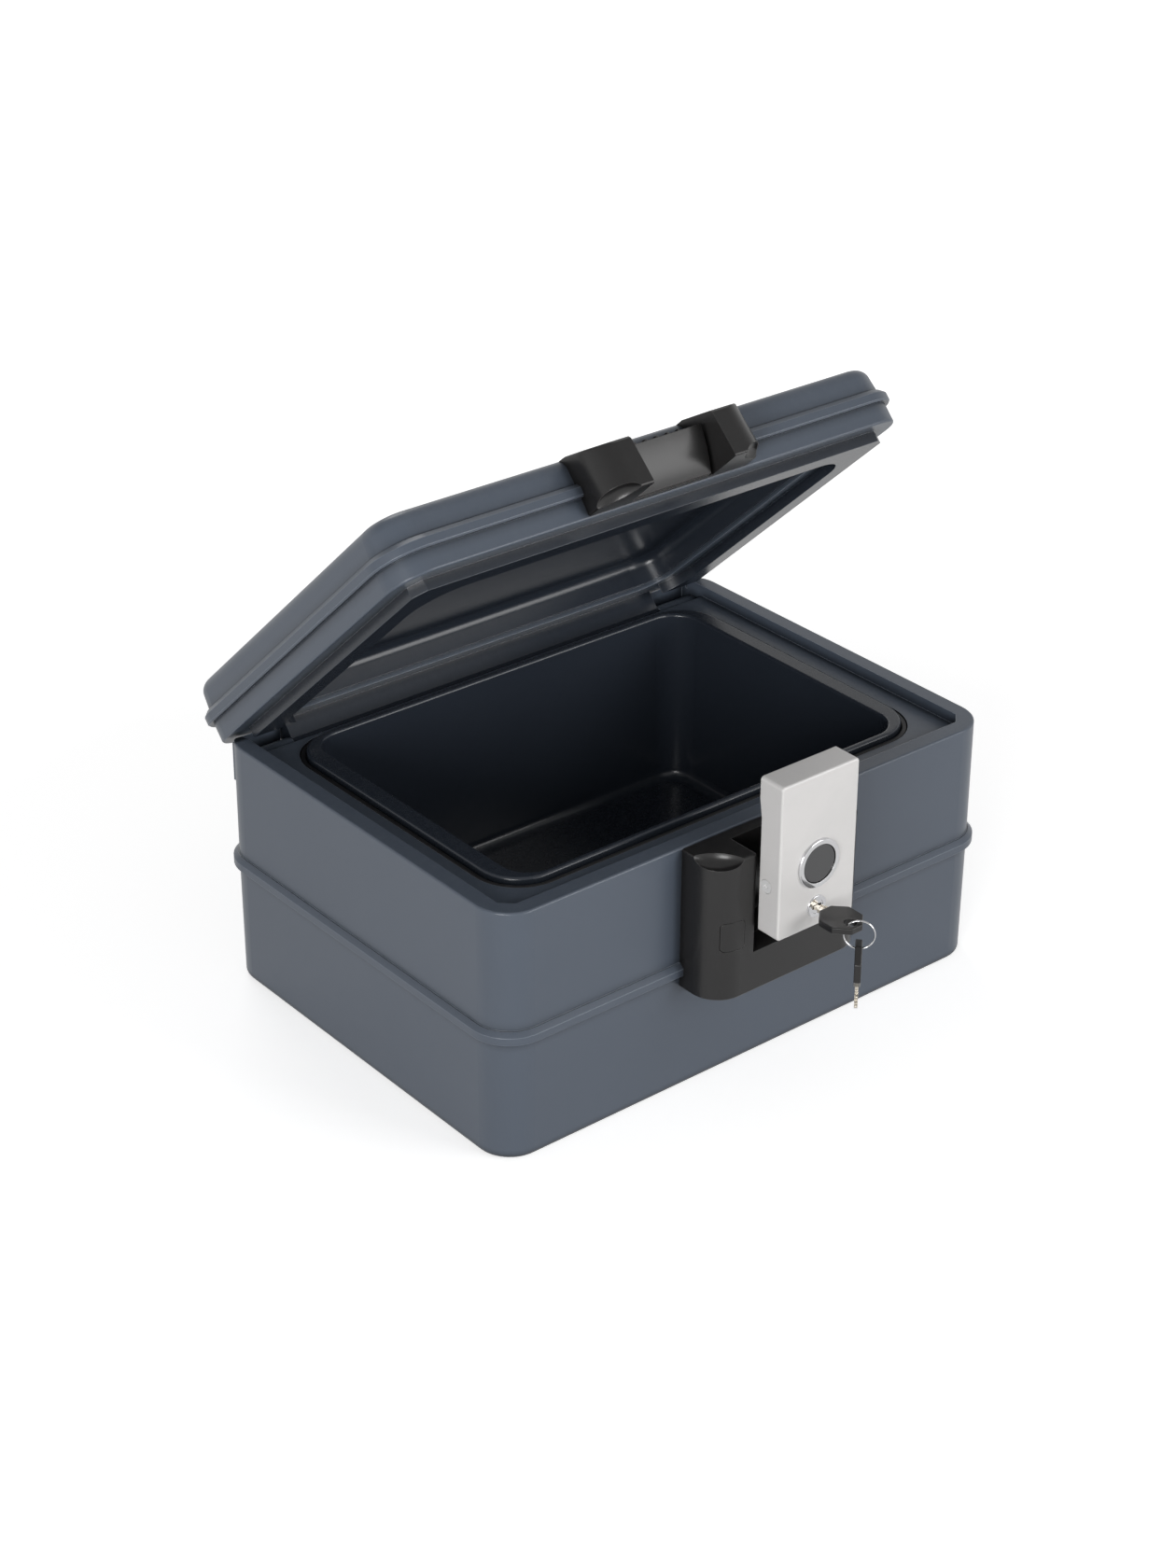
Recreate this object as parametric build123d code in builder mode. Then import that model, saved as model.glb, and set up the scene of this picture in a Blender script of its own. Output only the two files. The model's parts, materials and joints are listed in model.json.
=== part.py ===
from math import radians, sin, sqrt, tan
import os

from build123d import *

os.makedirs("parts", exist_ok=True)

# Origin at the middle of the underside, +X to the right, +Y to the back, +Z up, sizes in millimetres.
# The lid and everything on it is drawn shut and then swung open for the stored pose.

# Chest
body_width = 412
body_depth = 302
corner_radius = 25
wall = 3
seam_height = 86
rim_height = 178
base_lean = 0.5
foot_round = 4
rim_round = 1.5
seat_gap = 0.3

# Bead along both seams
bead_out = 4
bead_height = 9
bead_slope = 3
bead_edge = 1

# Lip that locates one shell in the other
lip_wall = 2.2
lip_height = 6
lip_root = 6
lip_fit = 0.2

# Rim, ledge and groove
rim_width = 12
ledge_drop = 8
ledge_corner = 8
mouth_margin_x = 28
mouth_margin_y = 28.5
groove_width = 4.5
groove_deep = 8
groove_lip = 2.4
mouth_radius = 34

# Pocket tray
tray_wall = 2.5
ring_width_x = 13.5
ring_width_y = 5
ring_rise = 4
ring_round = 2
pocket_floor = 42
pocket_radius = 20
pocket_round = 8

# Gasket
gasket_side = 0.4
gasket_seat = 0.2
gasket_crown = 1.2

# Hinge
hinge_inset = 15.5
hinge_drop = 21
barrel_radius = 9.8
knuckle_width = 33
knuckle_gap = 1
barrel_gap = 0.5
pin_radius = 3
pin_fit = 0.05
pin_grip = 14
pin_cover = 3
trough_drop = 11.5
swing_gap = 0.5
web_thick = 14

# Lid
lid_open = 43
skirt_height = 14
cover_height = 28.5
cover_lean = 5
cover_round = 9
trim_margin = 1
tongue_depth = 7.6
tongue_side = 1.5
tongue_ring_gap = 1
lid_ceiling = 22
lid_step = 2
pan_flange = 10
pan_round = 8

# Latch bracket and lid catch
latch_half = 65
latch_out = 33
latch_corner = 21
bracket_foot = 77
bracket_drop = 1
bracket_skin = 3.5
bracket_edge = 1.5
recess_half = 33
recess_floor = 106
recess_back = 9
scoop_half = 20
scoop_radius = 8
scoop_inset = 4
catch_lift = 1.5
catch_front_top = 35
catch_back_top = 42
catch_edge = 4
catch_lean = 4
nose_half = 31.5
nose_top = 32
nose_top_out = 17
nose_foot = 2.5
nose_foot_out = 5
nose_bulge = 1.6
nose_shelf_drop = 4.5
nose_lip = 2.8
gusset_count = 7
gusset_pitch = 9
gusset_thick = 1.5
gusset_reach = 7.5
gusset_rise = 10
nose_back = 3

# Bracket and catch screws
screw_x = 49
screw_z = 123
screw_radius = 2
screw_head = 4
screw_head_thick = 2.4
screw_grip = 9
screw_fit = 0.1
screw_boss = 6.5
screw_boss_out = 20
screw_seat = 12
screw_collar = 5
head_fit = 0.3
catch_screw_z = 10
catch_screw_reach = 13
cap_width = 16
cap_height = 20
cap_round = 2.5
cap_fit = 0.4

# Latch lever
lever_half = 32
lever_depth = 20
lever_out = 53.5
lever_foot = 122.5
lever_height = 108.5
lever_skin = 1.8
lever_corner = 2.5
lever_edge = 1.4
lever_step = 2
step_low = 80.5
step_high = 93.5
pivot_out = 21
pivot_z = 118
pivot_radius = 2.5
pivot_fit = 0.06
pivot_boss = 6
pivot_boss_width = 7
pivot_seat = 0.4
ear_radius = 5.5
ear_thick = 5
ear_offset = 22
ear_rise = 18
chassis_thick = 2
chassis_gap = 0.3

# Torsion spring on the pivot
spring_wire = 0.55
spring_radius = 3.8
spring_pitch = 1.7
spring_turns = 7

# Side screws of the lever
side_screw_y = 12.2
side_screw_z = 157
side_head = 4.6
side_head_thick = 0.9
side_shank = 2
side_boss = 4
side_boss_length = 7.4

# Sensor button
sensor_z = 168
sensor_ring_radius = 16.8
sensor_sleeve_radius = 15
sensor_disc_radius = 13.1
sensor_disc_gap = 0.3
sensor_flange = 1.8
sensor_sleeve = 5
sensor_disc_thick = 6
sensor_disc_sink = 0.5
sensor_stem_radius = 3
sensor_stem = 3.8
button_travel = 1

# Circuit board
board_half = 21
board_low = 152
board_high = 188
board_thick = 1.6
board_back = 12.7
switch_size = 6
switch_gap = 0.2
chip_size = 9
chip_thick = 1
board_screw_x = 18
board_screw_inset = 3
board_screw_radius = 1
board_screw_head = 2
board_boss = 3

# Battery box and cells
cell_radius = 5.25
cell_length = 44.5
cell_count = 3
cell_pitch = 11.2
cell_low = 198
cell_back = 7.6
cell_nub = 1.8
cell_nub_length = 1
holder_wall = 1.3
holder_back = 0.7
holder_end = 1.6
holder_open = 3.5
cell_slack = 0.25

# Gear motor
motor_x = 17
motor_low = 126
motor_can = 13
motor_gear = 9
motor_width = 12
motor_radius = 4.8
motor_y = 7.5
motor_shaft = 1.5
motor_shaft_length = 2.5
motor_cradle = 8

# Lock
lock_z = 137
lock_face_radius = 7.6
lock_face_thick = 1
lock_body_radius = 6.5
lock_fit = 0.2
lock_nut_flats = 16
lock_nut_thick = 2.6
lock_thread_gap = 0.15
plug_radius = 4.9
plug_clearance = 0.06
plug_proud = 0.7
cam_radius = 5.5
cam_thick = 1.8
cam_arm = 4
cam_pin = 1.4
lock_angle = 90

# Bolt
bolt_half = 9
bolt_thick = 1.8
bolt_gap = 0.3
bolt_foot = 129
bolt_top = 217.5
bolt_hook_thick = 4
bolt_reach = 11.5
bolt_lip = 2
bolt_lip_drop = 6
bolt_travel = 4
cam_slack = 0.3
rail_width = 1.7
rail_low = 155
rail_high = 200
hook_clear = 0.6

# Keys
blade_width = 7
blade_thick = 2.2
blade_length = 18
blade_inserted = 10
blade_tang = 6
blade_tip = 2.2
blade_slack = 0.1
bow_half = 13
bow_length = 29
bow_thick = 4.4
bow_neck = 5
bow_shoulder = 8
bow_cut = 8.6
bow_hole = 4.3
bow_hole_from_end = 6.5
bow_edge = 0.7
keyway_slack = 0.25
keyway_extra = 0.8
ring_radius = 9.7
ring_wire = 0.9
ring_slack = 0.6
ring_reach = 6

# Worked out from the sizes above
front = -body_depth / 2
rear = body_depth / 2
inner_width = body_width - 2 * wall
inner_depth = body_depth - 2 * wall
inner_radius = corner_radius - wall
ledge_height = rim_height - ledge_drop
ledge_width = body_width - 2 * rim_width
ledge_depth = body_depth - 2 * rim_width
mouth_width = body_width - 2 * mouth_margin_x
mouth_depth = body_depth - 2 * mouth_margin_y
groove_floor = ledge_height - groove_deep
ring_width = mouth_width - 2 * groove_width
ring_depth = mouth_depth - 2 * groove_width
ring_top = ledge_height + ring_rise
ring_corner = mouth_radius - groove_width
pocket_width = ring_width - 2 * ring_width_x
pocket_depth = ring_depth - 2 * ring_width_y
hinge_y = rear - hinge_inset
hinge_z = rim_height - hinge_drop
trough_half = ledge_width / 2
trough_front = mouth_depth / 2 + groove_lip
trough_floor = hinge_z - trough_drop
barrel_end = trough_half - knuckle_width - knuckle_gap
swing_radius = hinge_drop - swing_gap
lid_seam = rim_height + skirt_height
lid_top = lid_seam + cover_height
lid_roof = rim_height + lid_ceiling
base_shrink = seam_height * tan(radians(base_lean))
cover_shrink = cover_height * tan(radians(cover_lean))
fill_inset = wall + max(lip_wall, base_shrink, cover_shrink) + seat_gap
fill_width = body_width - 2 * fill_inset
fill_depth = body_depth - 2 * fill_inset
fill_radius = corner_radius - fill_inset + lip_wall
latch_front = front - latch_out
lever_front = front - lever_out
lever_back = lever_front + lever_depth
lever_top = lever_foot + lever_height
pivot_y = front - pivot_out
catch_foot = rim_height + catch_lift
shell_plate = rim_height + wall
chassis_back = lever_back - lever_step
chassis_front = chassis_back - chassis_thick
bolt_back = chassis_front - bolt_gap
bolt_front = bolt_back - bolt_thick
cam_back = bolt_front - bolt_gap
cam_front = cam_back - cam_thick
lock_body_back = cam_front - lock_fit
board_rear = lever_front + board_back
board_face = board_rear - board_thick
recess_rear = front - recess_back + bracket_skin
button_front = lever_front - sensor_flange + sensor_disc_sink
button_back = button_front + sensor_disc_thick
button_end = button_back + sensor_stem
lever_inside = lever_half - lever_skin
side_y = lever_front + side_screw_y
cell_y = lever_front + cell_back
motor_middle = lever_front + motor_y
holder_rear = bolt_front - lock_fit
bow_start = blade_length - blade_inserted
bow_end = bow_start + bow_length
hole_y = lever_front - bow_end + bow_hole_from_end
ring_x = ring_reach / sqrt(2)
ring_y = hole_y - ring_x
ring_z = lock_z + bow_thick / 2 + ring_slack - ring_radius + ring_wire
spare_z = ring_z - ring_radius + ring_wire + ring_slack - bow_hole
hinge_axis = Axis((0, hinge_y, hinge_z), (-1, 0, 0))


def slab(width, depth, radius, low, high, lean=0, mode=Mode.ADD):
    with BuildSketch(Plane.XY.offset(low)) as outline:
        RectangleRounded(width, depth, radius)
    extrude(outline.sketch, amount=high - low, taper=lean, mode=mode)


def block(x, y, z, mode=Mode.ADD):
    with BuildSketch(Plane.XY.offset(z[0])) as outline:
        with Locations(((x[0] + x[1]) / 2, (y[0] + y[1]) / 2)):
            Rectangle(x[1] - x[0], y[1] - y[0])
    extrude(outline.sketch, amount=z[1] - z[0], mode=mode)


def rod_x(y, z, radius, x, mode=Mode.ADD):
    with BuildSketch(Plane.YZ.offset(x[0])) as outline:
        with Locations((y, z)):
            Circle(radius)
    extrude(outline.sketch, amount=x[1] - x[0], mode=mode)


def rod_y(x, z, radius, y, mode=Mode.ADD):
    with BuildSketch(Plane.XZ.offset(-y[1])) as outline:
        with Locations((x, z)):
            Circle(radius)
    extrude(outline.sketch, amount=y[1] - y[0], mode=mode)


def rod_z(x, y, radius, z, mode=Mode.ADD):
    with BuildSketch(Plane.XY.offset(z[0])) as outline:
        with Locations((x, y)):
            Circle(radius)
    extrude(outline.sketch, amount=z[1] - z[0], mode=mode)


def plate_y(x, z, width, height, radius, y, mode=Mode.ADD):
    with BuildSketch(Plane.XZ.offset(-y[1])) as outline:
        with Locations((x, z)):
            RectangleRounded(width, height, radius)
    extrude(outline.sketch, amount=y[1] - y[0], mode=mode)


def both(side, inner, outer):
    return sorted((side * inner, side * outer))


def cut_corner_slab(width, depth, corner, low, high, mode=Mode.ADD):
    with BuildSketch(Plane.XY.offset(low)) as outline:
        Rectangle(width, depth)
        chamfer(outline.vertices(), corner)
    extrude(outline.sketch, amount=high - low, mode=mode)


def frame(outer, inner, low, high, mode=Mode.ADD):
    with BuildSketch(Plane.XY.offset(low)) as outline:
        RectangleRounded(*outer)
        RectangleRounded(*inner, mode=Mode.SUBTRACT)
    extrude(outline.sketch, amount=high - low, mode=mode)


def side_shape(points, x, mode=Mode.ADD):
    with BuildSketch(Plane.YZ.offset(x[0])) as outline:
        with BuildLine():
            Polyline(*points, close=True)
        make_face()
    extrude(outline.sketch, amount=x[1] - x[0], mode=mode)


def latch_plan(inset, low, high, core=0, mode=Mode.ADD):
    half = latch_half - inset
    face = latch_front + inset
    with BuildSketch(Plane.XY.offset(low)) as outline:
        with Locations((0, (face + front + wall) / 2)):
            Rectangle(2 * half, front + wall - face)
        fillet(outline.vertices().group_by(Axis.Y)[0], latch_corner - inset)
        if core:
            with Locations((0, (latch_front + recess_rear) / 2)):
                Rectangle(2 * core, recess_rear - latch_front, mode=Mode.SUBTRACT)
    extrude(outline.sketch, amount=high - low, mode=mode)


def finger_scoop(side):
    reach = (latch_corner - scoop_inset) / sqrt(2)
    middle = (side * (latch_half - latch_corner + reach), latch_front + latch_corner - reach, rim_height)
    spindle = Plane(origin=middle, x_dir=(1, side, 0), z_dir=(0, 0, 1))
    with BuildSketch(spindle) as outline:
        with BuildLine():
            ThreePointArc((-scoop_half, 0), (0, scoop_radius), (scoop_half, 0))
            Line((scoop_half, 0), (-scoop_half, 0))
        make_face()
    revolve(outline.sketch, axis=Axis(middle, (1, side, 0)), mode=Mode.SUBTRACT)


def seam_lip(seam, lean=0):
    loose_inset = lip_fit + lip_height * tan(radians(lean))
    outer = (inner_width, inner_depth, inner_radius)
    inner = (inner_width - 2 * lip_wall, inner_depth - 2 * lip_wall, inner_radius - lip_wall)
    loose = (inner_width - 2 * loose_inset, inner_depth - 2 * loose_inset, inner_radius - loose_inset)
    frame(outer, inner, seam - lip_root, seam)
    frame(loose, inner, seam, seam + lip_height)


def bead(seam):
    slab(body_width + 2 * bead_out, body_depth + 2 * bead_out, corner_radius + bead_out, seam, seam + bead_height)


# Outside of the upper base
with BuildPart() as base_form:
    bead(seam_height)
    chamfer(base_form.edges().group_by(Axis.Z)[-1], bead_slope)
    chamfer(base_form.edges().group_by(Axis.Z)[0], bead_edge)
    slab(body_width, body_depth, corner_radius, seam_height, rim_height)
    fillet(base_form.edges().group_by(Axis.Z)[-1], rim_round)

# Lower base shell, a plain tub with the locating lip
with BuildPart() as base_lower_shell:
    slab(body_width, body_depth, corner_radius, seam_height, 0, lean=base_lean)
    fillet(base_lower_shell.edges().group_by(Axis.Z)[0], foot_round)
    slab(inner_width, inner_depth, inner_radius, seam_height, wall, lean=base_lean, mode=Mode.SUBTRACT)
    seam_lip(seam_height)

# Upper base shell with rim, ledge, hinge trough and knuckles
with BuildPart() as base_upper_shell:
    add(base_form.part)
    slab(inner_width, inner_depth, inner_radius, seam_height, ledge_height - wall, mode=Mode.SUBTRACT)
    with BuildSketch(Plane.XY.offset(ledge_height - wall)):
        RectangleRounded(inner_width, inner_depth, inner_radius)
        Rectangle(ledge_width + 2 * wall, ledge_depth + 2 * wall, mode=Mode.SUBTRACT)
    extrude(amount=ledge_drop, mode=Mode.SUBTRACT)
    slab(mouth_width + 2 * groove_lip, mouth_depth + 2 * groove_lip, mouth_radius + groove_lip,
         groove_floor + seat_gap, ledge_height)
    block((-trough_half - wall, trough_half + wall), (mouth_depth / 2, rear - wall / 2),
          (trough_floor - wall, ledge_height))
    cut_corner_slab(ledge_width, ledge_depth, ledge_corner, ledge_height, rim_height, mode=Mode.SUBTRACT)
    slab(mouth_width, mouth_depth, mouth_radius, trough_floor - wall, rim_height, mode=Mode.SUBTRACT)
    block((-trough_half, trough_half), (trough_front, rear - wall), (trough_floor, rim_height), mode=Mode.SUBTRACT)
    block((-barrel_end, barrel_end), (trough_front, rear + bead_out), (trough_floor, rim_height), mode=Mode.SUBTRACT)
    for side in (-1, 1):
        span = both(side, barrel_end, barrel_end + knuckle_width)
        rod_x(hinge_y, hinge_z, barrel_radius, span)
        block(span, (hinge_y - barrel_radius / 2, rear - wall / 2), (trough_floor - wall / 2, hinge_z))
        bore = both(side, barrel_end, barrel_end + knuckle_width - pin_cover)
        rod_x(hinge_y, hinge_z, pin_radius + pin_fit, bore, mode=Mode.SUBTRACT)
        rod_y(side * screw_x, screw_z, screw_collar, (front + wall / 2, front + screw_grip))
        rod_y(side * screw_x, screw_z, screw_radius + screw_fit, (front, front + screw_grip), mode=Mode.SUBTRACT)
    # The rear edge is rounded about the hinge so that the lid turns past it
    with BuildSketch(Plane.YZ.offset(-body_width)):
        with Locations((hinge_y + hinge_drop, hinge_z + hinge_drop)):
            Rectangle(2 * hinge_drop, 2 * hinge_drop)
        with Locations((hinge_y, hinge_z)):
            Circle(swing_radius, mode=Mode.SUBTRACT)
    extrude(amount=2 * body_width, mode=Mode.SUBTRACT)

# Pocket tray with its raised ring and the floor of the groove
with BuildPart() as base_liner:
    slab(pocket_width + 2 * tray_wall, pocket_depth + 2 * tray_wall, pocket_radius + tray_wall,
         pocket_floor - tray_wall, ring_top)
    slab(ring_width, ring_depth, ring_corner, groove_floor - tray_wall, ring_top)
    fillet(base_liner.edges().group_by(Axis.Z)[-1], ring_round)
    slab(mouth_width - 2 * seat_gap, mouth_depth - 2 * seat_gap, mouth_radius - seat_gap,
         groove_floor - tray_wall, groove_floor)
    slab(pocket_width, pocket_depth, pocket_radius, pocket_floor, ring_top, mode=Mode.SUBTRACT)
    fillet(base_liner.edges().filter_by_position(Axis.Z, pocket_floor, pocket_floor), pocket_round)
    fillet(base_liner.faces().sort_by(Axis.Z)[-1].inner_wires()[0].edges(), ring_round)

# Fire filling of the base, cast around the tray
with BuildPart() as base_insulation:
    slab(fill_width, fill_depth, fill_radius, wall + seat_gap, ledge_height - wall - seat_gap)
    slab(mouth_width + 2 * (groove_lip + seat_gap), mouth_depth + 2 * (groove_lip + seat_gap),
         mouth_radius + groove_lip + seat_gap, groove_floor - tray_wall - seat_gap, rim_height, mode=Mode.SUBTRACT)
    slab(pocket_width + 2 * (tray_wall + seat_gap), pocket_depth + 2 * (tray_wall + seat_gap),
         pocket_radius + tray_wall + seat_gap, pocket_floor - tray_wall - seat_gap, rim_height, mode=Mode.SUBTRACT)
    block((-trough_half - wall - seat_gap, trough_half + wall + seat_gap), (mouth_depth / 2 - seat_gap, rear),
          (trough_floor - wall - seat_gap, rim_height), mode=Mode.SUBTRACT)
    for side in (-1, 1):
        rod_y(side * screw_x, screw_z, screw_collar + seat_gap, (front, front + screw_grip + seat_gap),
              mode=Mode.SUBTRACT)

# Rubber gasket in the groove
with BuildPart() as base_gasket:
    frame((mouth_width - 2 * gasket_side, mouth_depth - 2 * gasket_side, mouth_radius - gasket_side),
          (ring_width + 2 * gasket_side, ring_depth + 2 * gasket_side, ring_corner + gasket_side),
          groove_floor + gasket_seat, ledge_height - gasket_seat)
    fillet(base_gasket.edges().group_by(Axis.Z)[-1], gasket_crown)

# Steel hinge pins
with BuildPart() as hinge_pins:
    for side in (-1, 1):
        rod_x(hinge_y, hinge_z, pin_radius,
              both(side, barrel_end - pin_grip, barrel_end + knuckle_width - pin_cover - barrel_gap))

# Black bracket on the front of the base
with BuildPart() as latch_bracket:
    latch_plan(0, bracket_foot, rim_height - bracket_drop)
    fillet(latch_bracket.edges().group_by(Axis.Z)[-1] + latch_bracket.edges().group_by(Axis.Z)[0], bracket_edge)
    latch_plan(bracket_skin, bracket_foot + bracket_skin, recess_floor - bracket_skin, mode=Mode.SUBTRACT)
    latch_plan(bracket_skin, recess_floor - bracket_skin, rim_height - scoop_radius - bracket_skin,
               core=recess_half + bracket_skin, mode=Mode.SUBTRACT)
    for side in (-1, 1):
        rod_x(pivot_y, pivot_z, pivot_boss, both(side, recess_half, recess_half + pivot_boss_width))
        rod_y(side * screw_x, screw_z, screw_boss, (front - screw_boss_out, front))
        block(both(side, recess_half + bracket_skin / 2, latch_half - bracket_skin / 2),
              (front - screw_boss_out, front), (screw_z - bracket_skin / 2, screw_z + bracket_skin / 2))
        rod_y(side * screw_x, screw_z, screw_radius + screw_fit, (latch_front, front), mode=Mode.SUBTRACT)
        rod_y(side * screw_x, screw_z, screw_head + head_fit, (latch_front, front - screw_seat), mode=Mode.SUBTRACT)
        plate_y(side * screw_x, screw_z, cap_width + 2 * cap_fit, cap_height + 2 * cap_fit, cap_round + cap_fit,
                (latch_front, front - screw_boss_out), mode=Mode.SUBTRACT)
        finger_scoop(side)
    block((-recess_half, recess_half), (latch_front - wall, front - recess_back),
          (recess_floor, rim_height + wall), mode=Mode.SUBTRACT)
    pivot_reach = recess_half + pivot_boss_width - pivot_seat
    rod_x(pivot_y, pivot_z, pivot_radius + pivot_fit, (-pivot_reach, pivot_reach), mode=Mode.SUBTRACT)
    block((-body_width / 2, body_width / 2), (front, rear), (0, rim_height), mode=Mode.SUBTRACT)
    add(base_form.part, mode=Mode.SUBTRACT)


# Caps that close the screw pockets, shaped to the rounded front
def screw_cap(side):
    with BuildPart() as cap:
        plate_y(side * screw_x, screw_z, cap_width, cap_height, cap_round,
                (latch_front, front - screw_boss_out - seat_gap))
        latch_plan(0, bracket_foot, rim_height, mode=Mode.INTERSECT)
    return cap.part


# Screws that hold the bracket to the base
with BuildPart() as bracket_screws:
    for side in (-1, 1):
        rod_y(side * screw_x, screw_z, screw_head, (front - screw_seat - screw_head_thick, front - screw_seat))
        rod_y(side * screw_x, screw_z, screw_radius, (front - screw_seat, front + screw_grip - seat_gap))

# Pivot pin of the latch lever
with BuildPart() as latch_pin:
    rod_x(pivot_y, pivot_z, pivot_radius, (seat_gap - pivot_reach, pivot_reach - seat_gap))

# Torsion spring that pushes the lever out
spring_length = spring_pitch * spring_turns
with BuildPart() as latch_spring:
    with BuildLine() as coil:
        Helix(pitch=spring_pitch, height=spring_length, radius=spring_radius,
              center=(-spring_length / 2, pivot_y, pivot_z), direction=(1, 0, 0))
    with BuildSketch(Plane(origin=coil.line @ 0, z_dir=coil.line % 0)):
        Circle(spring_wire)
    sweep(path=coil.line, is_frenet=True)

# Silver cover of the latch lever
with BuildPart() as latch_cover:
    block((-lever_half, lever_half), (lever_front, lever_back), (lever_foot, lever_top))
    fillet(latch_cover.edges().filter_by(Axis.Y), lever_corner)
    fillet(latch_cover.edges().group_by(Axis.Y)[0], lever_edge)
    block((-lever_inside, lever_inside), (lever_front + lever_skin, lever_back + wall),
          (lever_foot + lever_skin, lever_top - lever_skin), mode=Mode.SUBTRACT)
    side_shape([(chassis_back, lever_foot - wall), (chassis_back, lever_foot + step_low),
                (lever_back, lever_foot + step_high), (lever_back + wall, lever_foot + step_high),
                (lever_back + wall, lever_foot - wall)], (-body_width / 2, body_width / 2), mode=Mode.SUBTRACT)
    rod_y(0, sensor_z, sensor_sleeve_radius + lock_fit, (lever_front, lever_back), mode=Mode.SUBTRACT)
    rod_y(0, lock_z, lock_body_radius + lock_fit, (lever_front, lever_back), mode=Mode.SUBTRACT)
    for side in (-1, 1):
        rod_x(side_y, side_screw_z, side_shank + lock_fit, both(side, lever_inside, lever_half), mode=Mode.SUBTRACT)
        rod_x(side_y, side_screw_z, side_head + lock_fit, both(side, lever_half - side_head_thick, lever_half),
              mode=Mode.SUBTRACT)

# Black chassis behind the cover, with ears on the pivot
chassis_half = lever_inside - chassis_gap
chassis_foot = lever_foot + lever_skin + chassis_gap
ear_slope = ear_radius / sqrt(2)
hook_low = bolt_top - bolt_hook_thick - bolt_lip_drop
with BuildPart() as latch_chassis:
    block((-chassis_half, chassis_half), (chassis_front, chassis_back),
          (chassis_foot, lever_top - lever_skin - chassis_gap))
    for side in (-1, 1):
        span = both(side, ear_offset, ear_offset + ear_thick)
        side_shape([(chassis_front, chassis_foot + ear_rise), (chassis_back, chassis_foot + ear_rise),
                    (pivot_y + ear_slope, pivot_z + ear_slope), (pivot_y - ear_slope, pivot_z - ear_slope),
                    (chassis_back, chassis_foot), (chassis_front, chassis_foot)], span)
        rod_x(pivot_y, pivot_z, ear_radius, span)
        span = both(side, chassis_half - side_boss_length, chassis_half)
        rod_x(side_y, side_screw_z, side_boss, span)
        block(span, (side_y, chassis_back), (side_screw_z - side_boss, side_screw_z + side_boss))
        rod_x(side_y, side_screw_z, side_shank, both(side, chassis_half - side_boss_length, chassis_half),
              mode=Mode.SUBTRACT)
        block(both(side, bolt_half + bolt_gap, bolt_half + bolt_gap + rail_width), (bolt_front, chassis_back),
              (rail_low, rail_high))
        for height in (board_low + board_screw_inset, board_high - board_screw_inset):
            rod_y(side * board_screw_x, height, board_boss, (board_rear, chassis_back))
            rod_y(side * board_screw_x, height, board_screw_radius, (board_rear, chassis_back), mode=Mode.SUBTRACT)
    block((motor_x - motor_cradle / 2, motor_x + motor_cradle / 2), (motor_middle + motor_width / 2, chassis_back),
          (motor_low + motor_can, motor_low + motor_can + motor_gear))
    rod_x(pivot_y, pivot_z, pivot_radius + pivot_fit, (-lever_half, lever_half), mode=Mode.SUBTRACT)
    block((-bolt_half - hook_clear, bolt_half + hook_clear), (chassis_front, chassis_back),
          (hook_low - hook_clear, bolt_top + bolt_travel + hook_clear), mode=Mode.SUBTRACT)

# Screws in the sides of the lever
with BuildPart() as latch_side_screws:
    for side in (-1, 1):
        rod_x(side_y, side_screw_z, side_head, both(side, lever_half - side_head_thick, lever_half))
        rod_x(side_y, side_screw_z, side_shank,
              both(side, chassis_half - side_boss_length + seat_gap, lever_half - side_head_thick))

# Chrome ring of the sensor button
with BuildPart() as sensor_ring:
    rod_y(0, sensor_z, sensor_ring_radius, (lever_front - sensor_flange, lever_front))
    fillet(sensor_ring.edges().group_by(Axis.Y)[0], sensor_flange / 2)
    rod_y(0, sensor_z, sensor_sleeve_radius, (lever_front, lever_front + sensor_sleeve))
    rod_y(0, sensor_z, sensor_disc_radius + sensor_disc_gap, (lever_front - sensor_flange, lever_back),
          mode=Mode.SUBTRACT)

# Black sensor button with its stem
with BuildPart() as sensor_button:
    rod_y(0, sensor_z, sensor_disc_radius, (button_front, button_back))
    fillet(sensor_button.edges().group_by(Axis.Y)[0], sensor_disc_sink)
    rod_y(0, sensor_z, sensor_stem_radius, (button_back, button_end))

# Circuit board with its processor
with BuildPart() as circuit_board:
    block((-board_half, board_half), (board_face, board_rear), (board_low, board_high))
    block((board_half - 2 * chip_size, board_half - chip_size), (board_face - chip_thick, board_face),
          (board_high - 2 * chip_size, board_high - chip_size))
    for side in (-1, 1):
        for height in (board_low + board_screw_inset, board_high - board_screw_inset):
            rod_y(side * board_screw_x, height, board_screw_radius + screw_fit, (board_face, board_rear),
                  mode=Mode.SUBTRACT)

# Push switch under the button
with BuildPart() as button_switch:
    block((-switch_size / 2, switch_size / 2), (button_end + button_travel + switch_gap, board_face),
          (sensor_z - switch_size / 2, sensor_z + switch_size / 2))

# Small screws of the circuit board
with BuildPart() as board_screws:
    for side in (-1, 1):
        for height in (board_low + board_screw_inset, board_high - board_screw_inset):
            rod_y(side * board_screw_x, height, board_screw_head, (board_face - chip_thick, board_face))
            rod_y(side * board_screw_x, height, board_screw_radius, (board_face, chassis_back))

# Battery box, open to the front
cell_half = cell_length / 2
stack_low = cell_low - cell_radius - cell_slack
stack_high = cell_low + (cell_count - 1) * cell_pitch + cell_radius + cell_slack
box_half = cell_half + cell_nub_length + cell_slack
with BuildPart() as battery_holder:
    block((-box_half - holder_end, box_half + holder_end), (cell_y - holder_open, holder_rear),
          (stack_low - holder_wall, stack_high + holder_wall))
    block((-box_half, box_half), (cell_y - holder_open, holder_rear - holder_back), (stack_low, stack_high),
          mode=Mode.SUBTRACT)

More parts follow.
